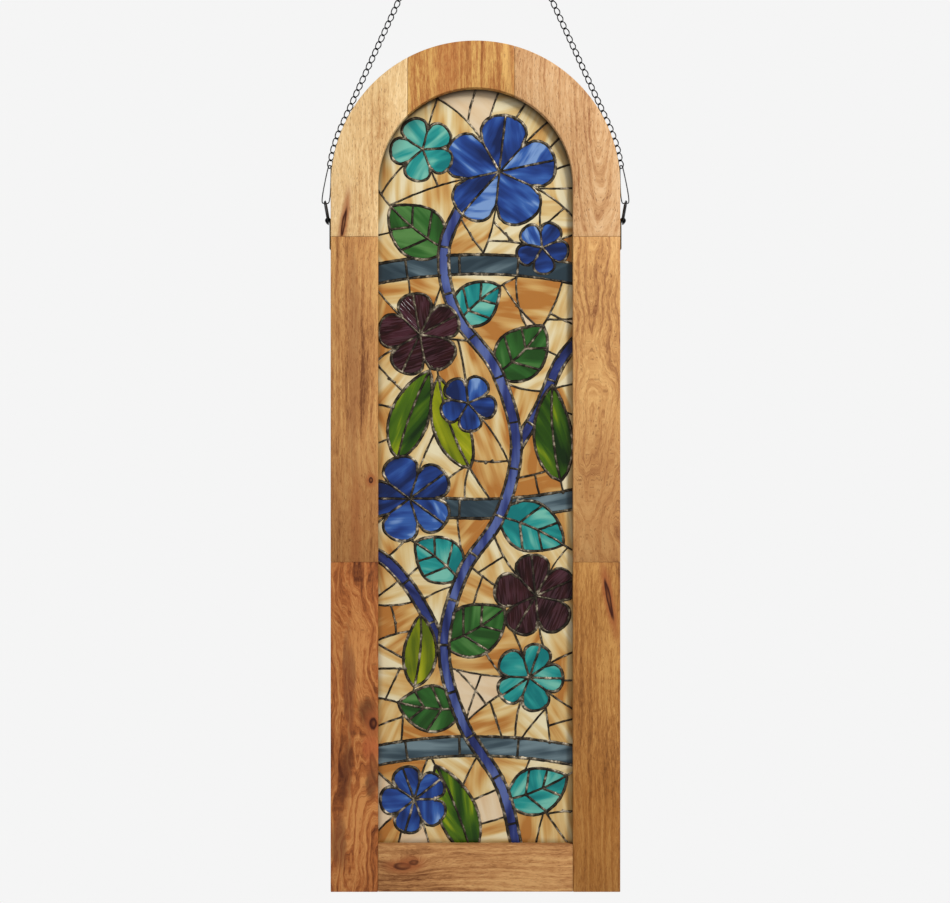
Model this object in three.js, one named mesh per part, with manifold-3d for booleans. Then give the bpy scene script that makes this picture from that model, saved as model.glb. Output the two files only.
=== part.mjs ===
// An arched stained glass window that hangs from a chain.
// Millimetres, +Z up, the front faces -Y. The origin is where the hook bears, under the chain's middle
// link, and the whole window hangs below it.
import * as THREE from 'three';
import { mergeVertices } from 'three/addons/utils/BufferGeometryUtils.js';
import Module from 'manifold-3d';

const wasm = await Module();
wasm.setup();

// Driving sizes of the wooden frame
const FRAME_HEIGHT = 914;
const BOARD_WIDTH = 50.8;
const FRAME_WIDTH = 311;
const FRAME_DEPTH = 22;
const ARCH_LEG = 55;
const STILE_SPLIT = 354;
const GLUE_JOINT_LEFT = -73;
const GLUE_JOINT_RIGHT = 42;
const GLUE_GAP = 0.3;
const ARC_STEPS = 24;

// Driving sizes of the glass panel
const GROOVE_DEPTH = 6;
const GLASS_THICKNESS = 3;
const LINE_DEPTH = 5;
const LINE_WIDTH = 4;
const SEAM_WIDTH = 3.4;
const EDGE_LINE_WIDTH = 3.6;
const SHORTEST_SEAM = 20;
const BAND_HEIGHT = 21;
const STEM_WIDTH = 11.5;
const FIT_GAP = 0.3;

// Driving sizes of the chain, the clips, the rings and the hangers
const CHAIN_RISE = 215;
const LINK_PITCH = 8.2;
const LINK_WIDTH = 6.6;
const LINK_WIRE = 1.3;
const CHAIN_END_ANGLE = 82.5;
const CLIP_WIRE = 1.3;
const CLIP_WIDE = 11.4;
const CLIP_NARROW = 4.8;
const RING_WIRE = 2.4;
const RING_HEIGHT = 24;
const RING_WIDTH = 17;
const RING_LEAN = 10;
const RING_BAR_DROP = 37;
const STRAP_THICKNESS = 1.8;
const STRAP_WIDTH = 11;
const STRAP_LENGTH = 30.5;
const SCREW_SHANK = 3;
const SCREW_HEAD = 6;
const SCREW_LENGTH = 16;
const SCREW_DROP = 23;

// Sizes that follow from the driving ones
const OUTER_RADIUS = FRAME_WIDTH / 2;
const INNER_RADIUS = OUTER_RADIUS - BOARD_WIDTH;
const FRONT = -FRAME_DEPTH / 2;
const BACK = FRAME_DEPTH / 2;
const CROWN_Z = -CHAIN_RISE;
const SPRING_Z = CROWN_Z - OUTER_RADIUS;
const BOTTOM_Z = CROWN_Z - FRAME_HEIGHT;
const SILL_Z = BOTTOM_Z + BOARD_WIDTH;
const LEG_Z = SPRING_Z - ARCH_LEG;
const SPLIT_Z = BOTTOM_Z + STILE_SPLIT;
const GLASS_FRONT = -GLASS_THICKNESS / 2;
const GLASS_BACK = GLASS_THICKNESS / 2;
const LINE_FRONT = -LINE_DEPTH / 2;
const LINE_BACK = LINE_DEPTH / 2;

const root = new THREE.Group();

function material(colour, roughness, metalness = 0) {
  return new THREE.MeshStandardMaterial({ color: colour, roughness, metalness });
}

function addPiece(name, geometry, look) {
  const mesh = new THREE.Mesh(geometry, look);
  mesh.name = name;
  root.add(mesh);
  return mesh;
}

// Closed meshes to solids and back

function solidOf(geometry) {
  const bare = geometry.clone();
  bare.deleteAttribute('normal');
  bare.deleteAttribute('uv');
  const merged = mergeVertices(bare, 1e-4);
  return new wasm.Manifold(new wasm.Mesh({
    numProp: 3,
    vertProperties: new Float32Array(merged.attributes.position.array),
    triVerts: new Uint32Array(merged.index.array),
  }));
}

function geometryOf(solid) {
  const mesh = solid.getMesh();
  const geometry = new THREE.BufferGeometry();
  geometry.setAttribute('position', new THREE.BufferAttribute(mesh.vertProperties, 3));
  geometry.setIndex(new THREE.BufferAttribute(mesh.triVerts, 1));
  return geometry;
}

// An outline of [x, z] points made into a solid between two depths
function slab(outline, front, back) {
  const shape = new THREE.Shape(outline.map(([x, z]) => new THREE.Vector2(x, z)));
  const geometry = new THREE.ExtrudeGeometry(shape, { depth: back - front, bevelEnabled: false });
  geometry.rotateX(Math.PI / 2);
  geometry.translate(0, back, 0);
  return solidOf(geometry);
}

function box(low, high) {
  const outline = [[low[0], low[2]], [high[0], low[2]], [high[0], high[2]], [low[0], high[2]]];
  return slab(outline, low[1], high[1]);
}

// The separate bodies of a solid, largest first, found by the corners that triangles share
function bodiesOf(solid) {
  const { vertProperties, triVerts } = solid.getMesh();
  const parent = Array.from({ length: vertProperties.length / 3 }, (_, i) => i);
  const find = (i) => {
    while (parent[i] !== i) {
      parent[i] = parent[parent[i]];
      i = parent[i];
    }
    return i;
  };
  for (let t = 0; t < triVerts.length; t += 3) {
    parent[find(triVerts[t])] = find(triVerts[t + 1]);
    parent[find(triVerts[t + 1])] = find(triVerts[t + 2]);
  }
  const groups = new Map();
  for (let t = 0; t < triVerts.length; t += 3) {
    const key = find(triVerts[t]);
    if (!groups.has(key)) groups.set(key, []);
    groups.get(key).push(triVerts[t], triVerts[t + 1], triVerts[t + 2]);
  }
  const bodies = [...groups.values()].map((index) => {
    const geometry = new THREE.BufferGeometry();
    geometry.setAttribute('position', new THREE.BufferAttribute(vertProperties, 3));
    geometry.setIndex(index);
    return solidOf(geometry);
  });
  return bodies.sort((a, b) => b.volume() - a.volume());
}

// The opening's outline, or one that is larger by grow: a sill, two upright sides and a round head

function archOutline(halfWidth, sillZ, steps = ARC_STEPS) {
  const outline = [[-halfWidth, sillZ], [halfWidth, sillZ]];
  for (let i = 0; i <= steps; i += 1) {
    const angle = Math.PI * i / steps;
    outline.push([halfWidth * Math.cos(angle), SPRING_Z + halfWidth * Math.sin(angle)]);
  }
  return outline;
}

function openingOutline(grow = 0) {
  return archOutline(INNER_RADIUS + grow, SILL_Z - grow);
}

// The wooden frame: one blank with the opening and the groove cut out, sawn into its eight boards

function addFrame() {
  const blank = slab(archOutline(OUTER_RADIUS, BOTTOM_Z, ARC_STEPS + 8), FRONT, BACK);
  const opening = slab(openingOutline(), FRONT - 1, BACK + 1);
  const grooveHalf = LINE_DEPTH / 2 + FIT_GAP;
  const groove = slab(openingOutline(GROOVE_DEPTH), -grooveHalf, grooveHalf);
  const whole = blank.subtract(opening).subtract(groove);
  const gap = GLUE_GAP / 2;
  const far = FRAME_WIDTH;
  const inner = INNER_RADIUS;
  const cuts = [
    ['arch_left', [-far, LEG_Z + gap], [GLUE_JOINT_LEFT - gap, 0], 0xc69a5c],
    ['arch_middle', [GLUE_JOINT_LEFT + gap, SPRING_Z], [GLUE_JOINT_RIGHT - gap, 0], 0xb9783c],
    ['arch_right', [GLUE_JOINT_RIGHT + gap, LEG_Z + gap], [far, 0], 0xc28f66],
    ['stile_left_upper', [-far, SPLIT_Z + gap], [-inner + GROOVE_DEPTH, LEG_Z - gap], 0xa97747],
    ['stile_left_lower', [-far, BOTTOM_Z - 1], [-inner, SPLIT_Z - gap], 0x8f5a38],
    ['stile_right_upper', [inner - GROOVE_DEPTH, SPLIT_Z + gap], [far, LEG_Z - gap], 0xb9854a],
    ['stile_right_lower', [inner, BOTTOM_Z - 1], [far, SPLIT_Z - gap], 0xad7d50],
    ['bottom_rail', [-inner + GLUE_GAP, BOTTOM_Z - 1], [inner - GLUE_GAP, SILL_Z + 1], 0xb98a58],
  ];
  for (const [name, [x0, z0], [x1, z1], colour] of cuts) {
    const part = whole.intersect(box([x0, FRONT - 1, z0], [x1, BACK + 1, z1]));
    const side = name.includes('left') ? -1 : 1;
    const drilled = name.endsWith('upper') ? part.subtract(pilotHole(side)) : part;
    addPiece(name, geometryOf(drilled), material(colour, 0.55));
  }
}

// The glass picture. It is drawn on a sheet with u to the right of the middle and v up from the bottom,
// 104.7 to each side and 812.4 high, and the sheet is stretched to fill the opening.

const STRETCH_U = INNER_RADIUS / 104.7;
const STRETCH_V = (FRAME_HEIGHT - 2 * BOARD_WIDTH) / 812.4;
const radians = (degrees) => degrees * Math.PI / 180;
const stretched = ([u, v]) => [u * STRETCH_U, v * STRETCH_V];
const stretchedHeading = (angle) => Math.atan2(STRETCH_V * Math.sin(angle), STRETCH_U * Math.cos(angle));
const toPanel = ([x, height]) => [x, SILL_Z + height];

// A round flower: petals with shallow notches between them
function flower(u, v, radius, turn, petals = 5) {
  const notch = 0.6;
  const shoulder = 0.4;
  const around = (angle, reach) => stretched(
    [u + radius * reach * Math.cos(angle), v + radius * reach * Math.sin(angle)]);
  const outline = [];
  const seeds = [];
  for (let k = 0; k < petals; k += 1) {
    const middle = radians(turn) + 2 * Math.PI * k / petals;
    const half = Math.PI / petals;
    for (const [share, reach] of [[-1, notch], [-shoulder, 1], [shoulder, 1]]) {
      outline.push(around(middle + share * half, reach));
    }
    const valley = middle - half;
    const heading = stretchedHeading(valley);
    seeds.push({ at: around(valley, notch), heading, least: SHORTEST_SEAM });
  }
  return { outline, seeds, seams: [spokes(stretched([u, v]), seeds)] };
}

// The seams between petals, one outline with a tapered arm out to each valley
function spokes([x, y], valleys) {
  const hub = SEAM_WIDTH;
  const outline = [];
  for (const { at, heading } of valleys) {
    outline.push(at);
    const between = heading + Math.PI / valleys.length;
    outline.push([x + hub * Math.cos(between), y + hub * Math.sin(between)]);
  }
  return outline;
}

// A pointed leaf whose rib is an arc: bend is how far its heading turns from base to tip
function leaf(u, v, length, width, angle, bend, steps = 4) {
  const start = radians(angle);
  const turn = radians(bend);
  const radius = length / turn;
  const rib = (s) => {
    const heading = start + turn * s;
    return [
      u + radius * (Math.sin(heading) - Math.sin(start)),
      v - radius * (Math.cos(heading) - Math.cos(start)),
      heading,
    ];
  };
  const left = [];
  const right = [];
  for (let i = 1; i < steps; i += 1) {
    const s = i / steps;
    const [x, y, heading] = rib(s);
    const half = 0.5 * width * Math.sin(Math.PI * s ** 0.85) ** 0.8;
    left.push(stretched([x - half * Math.sin(heading), y + half * Math.cos(heading)]));
    right.push(stretched([x + half * Math.sin(heading), y - half * Math.cos(heading)]));
  }
  const [base, middle, tip] = [0, 0.5, 1].map((s) => stretched(rib(s)));
  return {
    outline: [base, ...right, tip, ...left.reverse()],
    seeds: [
      { at: tip, heading: stretchedHeading(start + turn), least: LINE_WIDTH },
      { at: base, heading: stretchedHeading(start + Math.PI), least: LINE_WIDTH },
    ],
    seams: [strip([base, middle, tip], SEAM_WIDTH)],
  };
}

// A smooth line through points, in count pieces
function smoothLine(points, count) {
  const curve = new THREE.CatmullRomCurve3(
    points.map(([x, y]) => new THREE.Vector3(x, y, 0)), false, 'catmullrom', 0.5);
  return curve.getPoints(count).map((p) => [p.x, p.y]);
}

// The outline of a line drawn with a given width
function strip(line, width) {
  const left = [];
  const right = [];
  line.forEach(([x, y], i) => {
    const [ax, ay] = line[Math.max(0, i - 1)];
    const [bx, by] = line[Math.min(line.length - 1, i + 1)];
    const length = Math.hypot(bx - ax, by - ay);
    const nx = -(by - ay) / length * width / 2;
    const ny = (bx - ax) / length * width / 2;
    left.push([x + nx, y + ny]);
    right.push([x - nx, y - ny]);
  });
  return [...right, ...left.reverse()];
}

// A winding stem through points, made of straight pieces
function stem(points, pieces) {
  const line = smoothLine(points.map(stretched), pieces);
  return { outline: strip(line, STEM_WIDTH), seeds: [], seams: [] };
}

// A level band across the panel, bowed up or down by rise at the middle
function band(v, rise, steps = 4) {
  const reach = INNER_RADIUS + GROOVE_DEPTH + LINE_WIDTH;
  const line = [];
  for (let i = 0; i <= steps; i += 1) {
    const across = 2 * i / steps - 1;
    line.push([reach * across, STRETCH_V * (v + rise * (1 - across ** 2))]);
  }
  return { outline: strip(line, BAND_HEIGHT), seeds: [], seams: [] };
}

// The picture from back to front: what comes later lies over what comes before
const picture = [
  ['band_lower', 'slate', band(92, 12)],
  ['band_middle', 'slate', band(372, -12)],
  ['band_upper', 'slate', band(612, 12)],
  ['stem_left_low', 'violet', stem([[-34, 206], [-62, 262], [-92, 300], [-120, 318]], 3)],
  ['stem_right_high', 'violet', stem([[43, 424], [70, 470], [92, 520], [120, 552]], 4)],
  ['blade_low', 'olive', leaf(-4, -14, 105, 40, 105, 14)],
  ['blade_lime_low', 'lime', leaf(-66, 168, 78, 34, 76, 18)],
  ['blade_left_mid', 'olive', leaf(-84, 414, 102, 40, 78, -16)],
  ['blade_lime_mid', 'lime', leaf(-6, 404, 105, 36, 120, -22)],
  ['blade_right_mid', 'olive', leaf(92, 390, 104, 40, 104, -18)],
  ['leaf_top_left', 'green', leaf(-32, 640, 76, 54, 152, -20)],
  ['leaf_high_right', 'green', leaf(22, 505, 74, 52, 34, 24)],
  ['leaf_teal_high', 'teal', leaf(-20, 560, 62, 44, 52, -22)],
  ['leaf_teal_mid', 'teal', leaf(26, 352, 76, 52, -14, -20)],
  ['leaf_mid_right', 'green', leaf(-34, 215, 76, 54, 18, 24)],
  ['leaf_teal_left', 'teal', leaf(-18, 284, 62, 48, 130, 20)],
  ['leaf_teal_low', 'teal', leaf(34, 46, 70, 48, 12, 20)],
  ['leaf_low_left', 'green', leaf(-16, 144, 68, 48, 184, -20)],
  ['stem_main', 'violet', stem([[46, -12], [28, 60], [-14, 130], [-34, 210], [-14, 290], [26, 352],
    [44, 430], [22, 510], [-22, 572], [-34, 640], [-6, 705]], 19)],
  ['flower_top', 'cobalt', flower(26, 724, 60, 84)],
  ['flower_plum_left', 'plum', flower(-60, 548, 44, 100)],
  ['flower_right_high', 'cobalt', flower(72, 642, 28, 60)],
  ['flower_teal_top', 'teal', flower(-57, 748, 34, 40)],
  ['flower_plum_right', 'plum', flower(65, 266, 44, 96)],
  ['flower_left_mid', 'cobalt', flower(-71, 371, 46, 36)],
  ['flower_small_mid', 'cobalt', flower(-8, 474, 30, 60)],
  ['flower_teal_right', 'teal', flower(58, 178, 36, 70)],
  ['flower_low_left', 'cobalt', flower(-66, 46, 36, 110)],
];

// Turns an outline into one that is larger all round by distance, with pointed tips held back
function grow(outline, distance) {
  const count = outline.length;
  let area = 0;
  outline.forEach(([x, y], i) => {
    const [nx, ny] = outline[(i + 1) % count];
    area += x * ny - nx * y;
  });
  const side = Math.sign(area);
  return outline.map(([x, y], i) => {
    const [px, py] = outline[(i + count - 1) % count];
    const [nx, ny] = outline[(i + 1) % count];
    const before = Math.hypot(x - px, y - py);
    const after = Math.hypot(nx - x, ny - y);
    const n1 = [(y - py) / before * side, -(x - px) / before * side];
    const n2 = [(ny - y) / after * side, -(nx - x) / after * side];
    const sum = [n1[0] + n2[0], n1[1] + n2[1]];
    const size = Math.hypot(...sum);
    const miter = Math.min(2 / size, 2.2);
    return [x + sum[0] / size * distance * miter, y + sum[1] / size * distance * miter];
  });
}

function inside([x, y], outline) {
  let within = false;
  outline.forEach(([xi, yi], i) => {
    const [xj, yj] = outline[(i + outline.length - 1) % outline.length];
    if ((yi > y) !== (yj > y) && x < (xj - xi) * (y - yi) / (yj - yi) + xi) within = !within;
  });
  return within;
}

function inOpening([x, height]) {
  if (height < 0) return false;
  const overSpring = Math.max(0, height - (SPRING_Z - SILL_Z));
  return Math.hypot(x, overSpring) <= INNER_RADIUS;
}

// Seams in the ground run straight out of each valley and tip until they meet a motif, another seam
// or the frame
function groundSeams() {
  const stride = SHORTEST_SEAM / 10;
  const outlines = picture.map(([, , motif]) => motif.outline);
  const covered = (point) => outlines.some((outline) => inside(point, outline));
  const seams = [];
  const near = ([x, y]) => seams.some(([[x1, y1], [x2, y2]]) => {
    const [dx, dy] = [x2 - x1, y2 - y1];
    const t = Math.max(0, Math.min(1, ((x - x1) * dx + (y - y1) * dy) / (dx * dx + dy * dy)));
    return Math.hypot(x - x1 - t * dx, y - y1 - t * dy) < SEAM_WIDTH / 2;
  });
  for (const [, , motif] of picture) {
    for (const { at, heading, least } of motif.seeds) {
      const step = [stride * Math.cos(heading), stride * Math.sin(heading)];
      let point = [at[0] + 2 * step[0], at[1] + 2 * step[1]];
      if (covered(point) || !inOpening(point)) continue;
      let strides = 0;
      while (inOpening(point) && !covered(point) && !near(point)) {
        point = [point[0] + step[0], point[1] + step[1]];
        strides += 1;
      }
      const end = [point[0] - step[0] / 2, point[1] - step[1] / 2];
      if (strides * stride > least) seams.push([at, end]);
    }
  }
  return seams;
}

function addPanel() {
  const colours = {
    slate: 0x566a7a, violet: 0x3c4690, olive: 0x34560f, lime: 0x8f9c18, green: 0x44794a,
    teal: 0x46b0a2, cobalt: 0x3254a4, plum: 0x4e2636, ground: 0xe0c088,
  };
  const look = Object.fromEntries(Object.entries(colours).map(([key, hex]) => [key, material(hex, 0.2)]));
  const halfLine = LINE_WIDTH / 2;
  const plate = (outline, by) => slab(grow(outline, by).map(toPanel), GLASS_FRONT, GLASS_BACK);
  const bar = (outline, by) => slab(grow(outline, by).map(toPanel), LINE_FRONT, LINE_BACK);
  const bead = (outline) => slab(outline.map(toPanel), LINE_FRONT, GLASS_FRONT);
  const edgeOuter = GROOVE_DEPTH - FIT_GAP;
  const edgeInner = edgeOuter - EDGE_LINE_WIDTH;
  const panelArea = slab(openingOutline(edgeInner + 0.5), LINE_FRONT, LINE_BACK);
  const glassArea = slab(openingOutline(edgeInner - FIT_GAP), GLASS_FRONT, GLASS_BACK);
  const edgeLine = slab(openingOutline(edgeOuter), LINE_FRONT, LINE_BACK)
    .subtract(slab(openingOutline(edgeInner), LINE_FRONT - 1, LINE_BACK + 1));

  let lines = null;
  for (const seam of groundSeams()) {
    const raised = bead(strip(seam, SEAM_WIDTH));
    lines = lines ? lines.add(raised) : raised;
  }
  picture.forEach(([, , motif]) => {
    lines = lines.add(bar(motif.outline, halfLine)).subtract(bar(motif.outline, -halfLine));
    for (const seam of motif.seams) lines = lines.add(bead(seam));
  });
  lines = lines.intersect(panelArea).add(edgeLine);
  addPiece('solder_lines', geometryOf(lines), material(0x3b352f, 0.45, 0.7));

  let ground = glassArea;
  picture.forEach(([name, colour, motif], i) => {
    let glass = plate(motif.outline, -halfLine - FIT_GAP).intersect(glassArea);
    for (const [, , above] of picture.slice(i + 1)) {
      glass = glass.subtract(plate(above.outline, halfLine + FIT_GAP));
    }
    ground = ground.subtract(plate(motif.outline, halfLine + FIT_GAP));
    const bodies = bodiesOf(glass).filter((body) => body.volume() > 60);
    bodies.forEach((body, k) => {
      const suffix = bodies.length > 1 ? `_${k + 1}` : '';
      addPiece(`${name}${suffix}`, geometryOf(body), look[colour]);
    });
  });
  const grounds = bodiesOf(ground).filter((body) => body.volume() > 60);
  grounds.forEach((body, k) => addPiece(`ground_${k + 1}`, geometryOf(body), look.ground));
}

// Bent wire: a closed loop of points with a section of few sides

function wireLoop(points, radius, sides) {
  const count = points.length;
  const centre = points.reduce((sum, p) => sum.add(p), new THREE.Vector3()).divideScalar(count);
  const positions = [];
  const index = [];
  points.forEach((point, i) => {
    const along = points[(i + 1) % count].clone().sub(points[(i + count - 1) % count]).normalize();
    const outward = point.clone().sub(centre);
    outward.addScaledVector(along, -outward.dot(along)).normalize();
    const across = along.clone().cross(outward);
    for (let k = 0; k < sides; k += 1) {
      const angle = 2 * Math.PI * k / sides;
      const corner = point.clone()
        .addScaledVector(outward, radius * Math.cos(angle))
        .addScaledVector(across, radius * Math.sin(angle));
      positions.push(corner.x, corner.y, corner.z);
      const next = (i + 1) % count * sides;
      const here = i * sides;
      const side = (k + 1) % sides;
      index.push(here + k, here + side, next + side, here + k, next + side, next + k);
    }
  });
  const geometry = new THREE.BufferGeometry();
  geometry.setAttribute('position', new THREE.BufferAttribute(new Float32Array(positions), 3));
  geometry.setIndex(index);
  return geometry;
}

// A curb chain as one body. Neighbouring links meet in a hub of six corners. From there two bars of three
// sides run along each link, bowed out to its full width, and twist from one hub to the next so that
// each link's ends lie across its neighbours'. A joint gives a hub's place, its direction along the
// chain and its side, which lies in the plane of the links.
const HUB_REACH = LINK_WIRE * 0.75;
const hubCorner = ([t, n, w]) => {
  const axis = [t, n, w].findIndex((value) => value !== 0);
  return 2 * axis + ([t, n, w][axis] > 0 ? 0 : 1);
};

function quarterTurns(count, n, w) {
  let turned = [n, w];
  for (let i = 0; i < count; i += 1) turned = [-turned[1], turned[0]];
  return turned;
}

// Three hub corners in the order that faces away from the hub
function hubFace(t, n, w) {
  const corners = [[t, 0, 0], [0, n, 0], [0, 0, w]].map(hubCorner);
  return t * n * w > 0 ? corners : [corners[0], corners[2], corners[1]];
}

function chainGeometry(joints, turnedLast = false) {
  const positions = [];
  const triangles = [];
  const used = new Set();
  const place = (point) => {
    positions.push(point.x, point.y, point.z);
    return positions.length / 3 - 1;
  };
  for (const { at, along, side } of joints) {
    for (const direction of [along, side, along.clone().cross(side)]) {
      for (const sign of [1, -1]) place(at.clone().addScaledVector(direction, sign * HUB_REACH));
    }
  }
  const bridge = (from, to) => {
    for (const [k, next] of [[0, 1], [1, 2], [2, 0]]) {
      triangles.push(from[k], from[next], to[next], from[k], to[next], to[k]);
    }
  };
  const takeFace = (hub, directions) => {
    const face = directions.map((direction) => 6 * hub + hubCorner(direction));
    used.add(face.slice().sort().join());
    return face;
  };
  const bow = (LINK_WIDTH - LINK_WIRE) / 2;
  const wire = LINK_WIRE * 0.6;
  const section = [180, 300, 60].map((degrees) => [Math.cos(radians(degrees)), Math.sin(radians(degrees))]);
  for (let i = 0; i + 1 < joints.length; i += 1) {
    const along = joints[i + 1].at.clone().sub(joints[i].at).normalize();
    const thickness = along.clone().cross(joints[i].side).normalize();
    const side = thickness.clone().cross(along);
    const middle = joints[i].at.clone().add(joints[i + 1].at).divideScalar(2);
    for (const half of [0, 2]) {
      const turns = half + (turnedLast && i === joints.length - 2 ? 1 : 0);
      const aim = (n, w) => quarterTurns(turns, n, w);
      const leaving = takeFace(i, [[1, 0, 0], [0, ...aim(1, 0)], [0, ...aim(0, 1)]]);
      const arriving = takeFace(i + 1, [[-1, 0, 0], [0, ...aim(0, -1)], [0, ...aim(1, 0)]]);
      const waist = section.map(([n, w]) => {
        const [across, deep] = aim(bow + n * wire, w * wire);
        return place(middle.clone().addScaledVector(side, across).addScaledVector(thickness, deep));
      });
      bridge(leaving, waist);
      bridge(waist, arriving);
    }
  }
  for (let hub = 0; hub < joints.length; hub += 1) {
    for (const t of [1, -1]) {
      for (const n of [1, -1]) {
        for (const w of [1, -1]) {
          const face = hubFace(t, n, w).map((corner) => 6 * hub + corner);
          if (!used.has(face.slice().sort().join())) triangles.push(...face);
        }
      }
    }
  }
  const geometry = new THREE.BufferGeometry();
  geometry.setAttribute('position', new THREE.BufferAttribute(new Float32Array(positions), 3));
  geometry.setIndex(triangles);
  return geometry;
}

// One side's chain runs from the middle link straight down to the arch and then along its edge
const CHAIN_RADIUS = OUTER_RADIUS + LINK_WIDTH / 2 + FIT_GAP;
const CHAIN_TOP_Z = LINK_WIDTH / 2;

function chainPath() {
  const start = new THREE.Vector2(LINK_PITCH / 2, CHAIN_TOP_Z - SPRING_Z);
  const distance = start.length();
  const touch = Math.atan2(start.x, start.y) + Math.acos(CHAIN_RADIUS / distance);
  const straight = Math.sqrt(distance ** 2 - CHAIN_RADIUS ** 2);
  const total = straight + CHAIN_RADIUS * (radians(CHAIN_END_ANGLE) - touch);
  const onArch = (angle) => new THREE.Vector2(Math.sin(angle), Math.cos(angle))
    .multiplyScalar(CHAIN_RADIUS);
  const at = (s) => (s <= straight
    ? start.clone().lerp(onArch(touch), s / straight)
    : onArch(touch + (s - straight) / CHAIN_RADIUS));
  return { at, total };
}

const LEG = chainPath();
const LEG_START = 2 * HUB_REACH + FIT_GAP;
const LINK_COUNT = Math.round((LEG.total - LEG_START) / LINK_PITCH);
const PITCH_IN_PLACE = (LEG.total - LEG_START) / LINK_COUNT;

function chainJoint(side, s) {
  const place = (distance) => {
    const point = LEG.at(distance);
    return new THREE.Vector3(side * point.x, 0, SPRING_Z + point.y);
  };
  const along = place(s + 0.5).sub(place(s - 0.5)).normalize();
  const outward = new THREE.Vector3(-side * along.z, 0, side * along.x);
  return { at: place(s), along, side: outward };
}

function addChain(black) {
  for (const side of [-1, 1]) {
    const joints = [];
    for (let k = 0; k <= LINK_COUNT; k += 1) joints.push(chainJoint(side, LEG_START + k * PITCH_IN_PLACE));
    addPiece(side < 0 ? 'chain_left' : 'chain_right', chainGeometry(joints, true), black);
  }
  const ends = [-1, 1].map((sign) => ({
    at: new THREE.Vector3(sign * LINK_PITCH / 2, 0, CHAIN_TOP_Z),
    along: new THREE.Vector3(1, 0, 0),
    side: new THREE.Vector3(0, 0, 1),
  }));
  addPiece('middle_link', chainGeometry(ends), black);
}

// The ring hangs in the strap's eye beside the frame and leans out where the clip pulls it
const EYE_RADIUS = RING_WIRE / 2 + FIT_GAP;
const EYE_CENTRE_X = OUTER_RADIUS + EYE_RADIUS + STRAP_THICKNESS;
const EYE_CENTRE_Z = SPRING_Z - RING_BAR_DROP;

function ringPoint(side, acrossY, up) {
  const lean = radians(RING_LEAN);
  return new THREE.Vector3(
    side * (EYE_CENTRE_X + up * Math.sin(lean)), acrossY, EYE_CENTRE_Z + up * Math.cos(lean));
}

function addRing(side, black) {
  const half = RING_WIDTH / 2 - RING_WIRE / 2;
  const height = RING_HEIGHT - RING_WIRE;
  const points = [];
  const steps = 6;
  for (let i = 0; i <= steps; i += 1) {
    const angle = Math.PI * i / steps;
    const up = height - half + half * Math.sin(angle);
    points.push(ringPoint(side, side * half * Math.cos(angle), up));
  }
  points.push(ringPoint(side, -side * half, 0), ringPoint(side, side * half, 0));
  addPiece(side < 0 ? 'd_ring_left' : 'd_ring_right', wireLoop(points, RING_WIRE / 2, 5), black);
}

// The clip: a loop of wire from the chain's last link to the top of the ring, straight beside the frame
// and bulging away from it towards its lower end
function addClip(side, grey) {
  const wire = CLIP_WIRE / 2;
  const top = chainJoint(side, LEG.total - 0.58 * PITCH_IN_PLACE).at;
  const bottom = ringPoint(side, 0, RING_HEIGHT - RING_WIRE * 1.5 - wire - FIT_GAP);
  const bulge = (CLIP_WIDE - CLIP_NARROW) / 2;
  bottom.x -= side * bulge;
  const along = top.clone().sub(bottom);
  const length = along.length();
  along.normalize();
  const across = new THREE.Vector3(0, 1, 0).cross(along);
  const points = [];
  const steps = 12;
  for (let i = 0; i < steps; i += 1) {
    const angle = 2 * Math.PI * i / steps;
    const up = THREE.MathUtils.smoothstep(0.5 - 0.5 * Math.cos(angle), 0, 1);
    const middle = bulge * (1 - up);
    const half = CLIP_NARROW / 2 - wire + middle;
    const sine = Math.sin(angle);
    const offset = middle + half * Math.sign(sine) * Math.abs(sine) ** 0.3;
    points.push(bottom.clone().addScaledVector(along, up * length).addScaledVector(across, side * offset));
  }
  addPiece(side < 0 ? 'clip_left' : 'clip_right', wireLoop(points, wire, 4), grey);
}

// The hanger: a strap down the frame's side, bent at its top into an eye round the ring's bar
const SCREW_Z = EYE_CENTRE_Z - SCREW_DROP;

function screwShape(headRadius, shankRadius, length, headDepth, sides) {
  const profile = [[0, -length], [shankRadius, -length], [shankRadius, -headDepth], [headRadius, 0], [0, 0]];
  const points = profile.map(([radius, height]) => new THREE.Vector2(radius, height));
  const geometry = new THREE.LatheGeometry(points, sides);
  geometry.rotateZ(-Math.PI / 2);
  return geometry;
}

function placedScrew(side, grow, extra) {
  const geometry = screwShape(
    SCREW_HEAD / 2 + grow, SCREW_SHANK / 2 + grow, SCREW_LENGTH + extra, SCREW_HEAD / 2, 6);
  if (side < 0) geometry.rotateZ(Math.PI);
  geometry.translate(side * (OUTER_RADIUS + STRAP_THICKNESS), 0, SCREW_Z);
  return solidOf(geometry);
}

function pilotHole(side) {
  return placedScrew(side, FIT_GAP, FIT_GAP);
}

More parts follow.
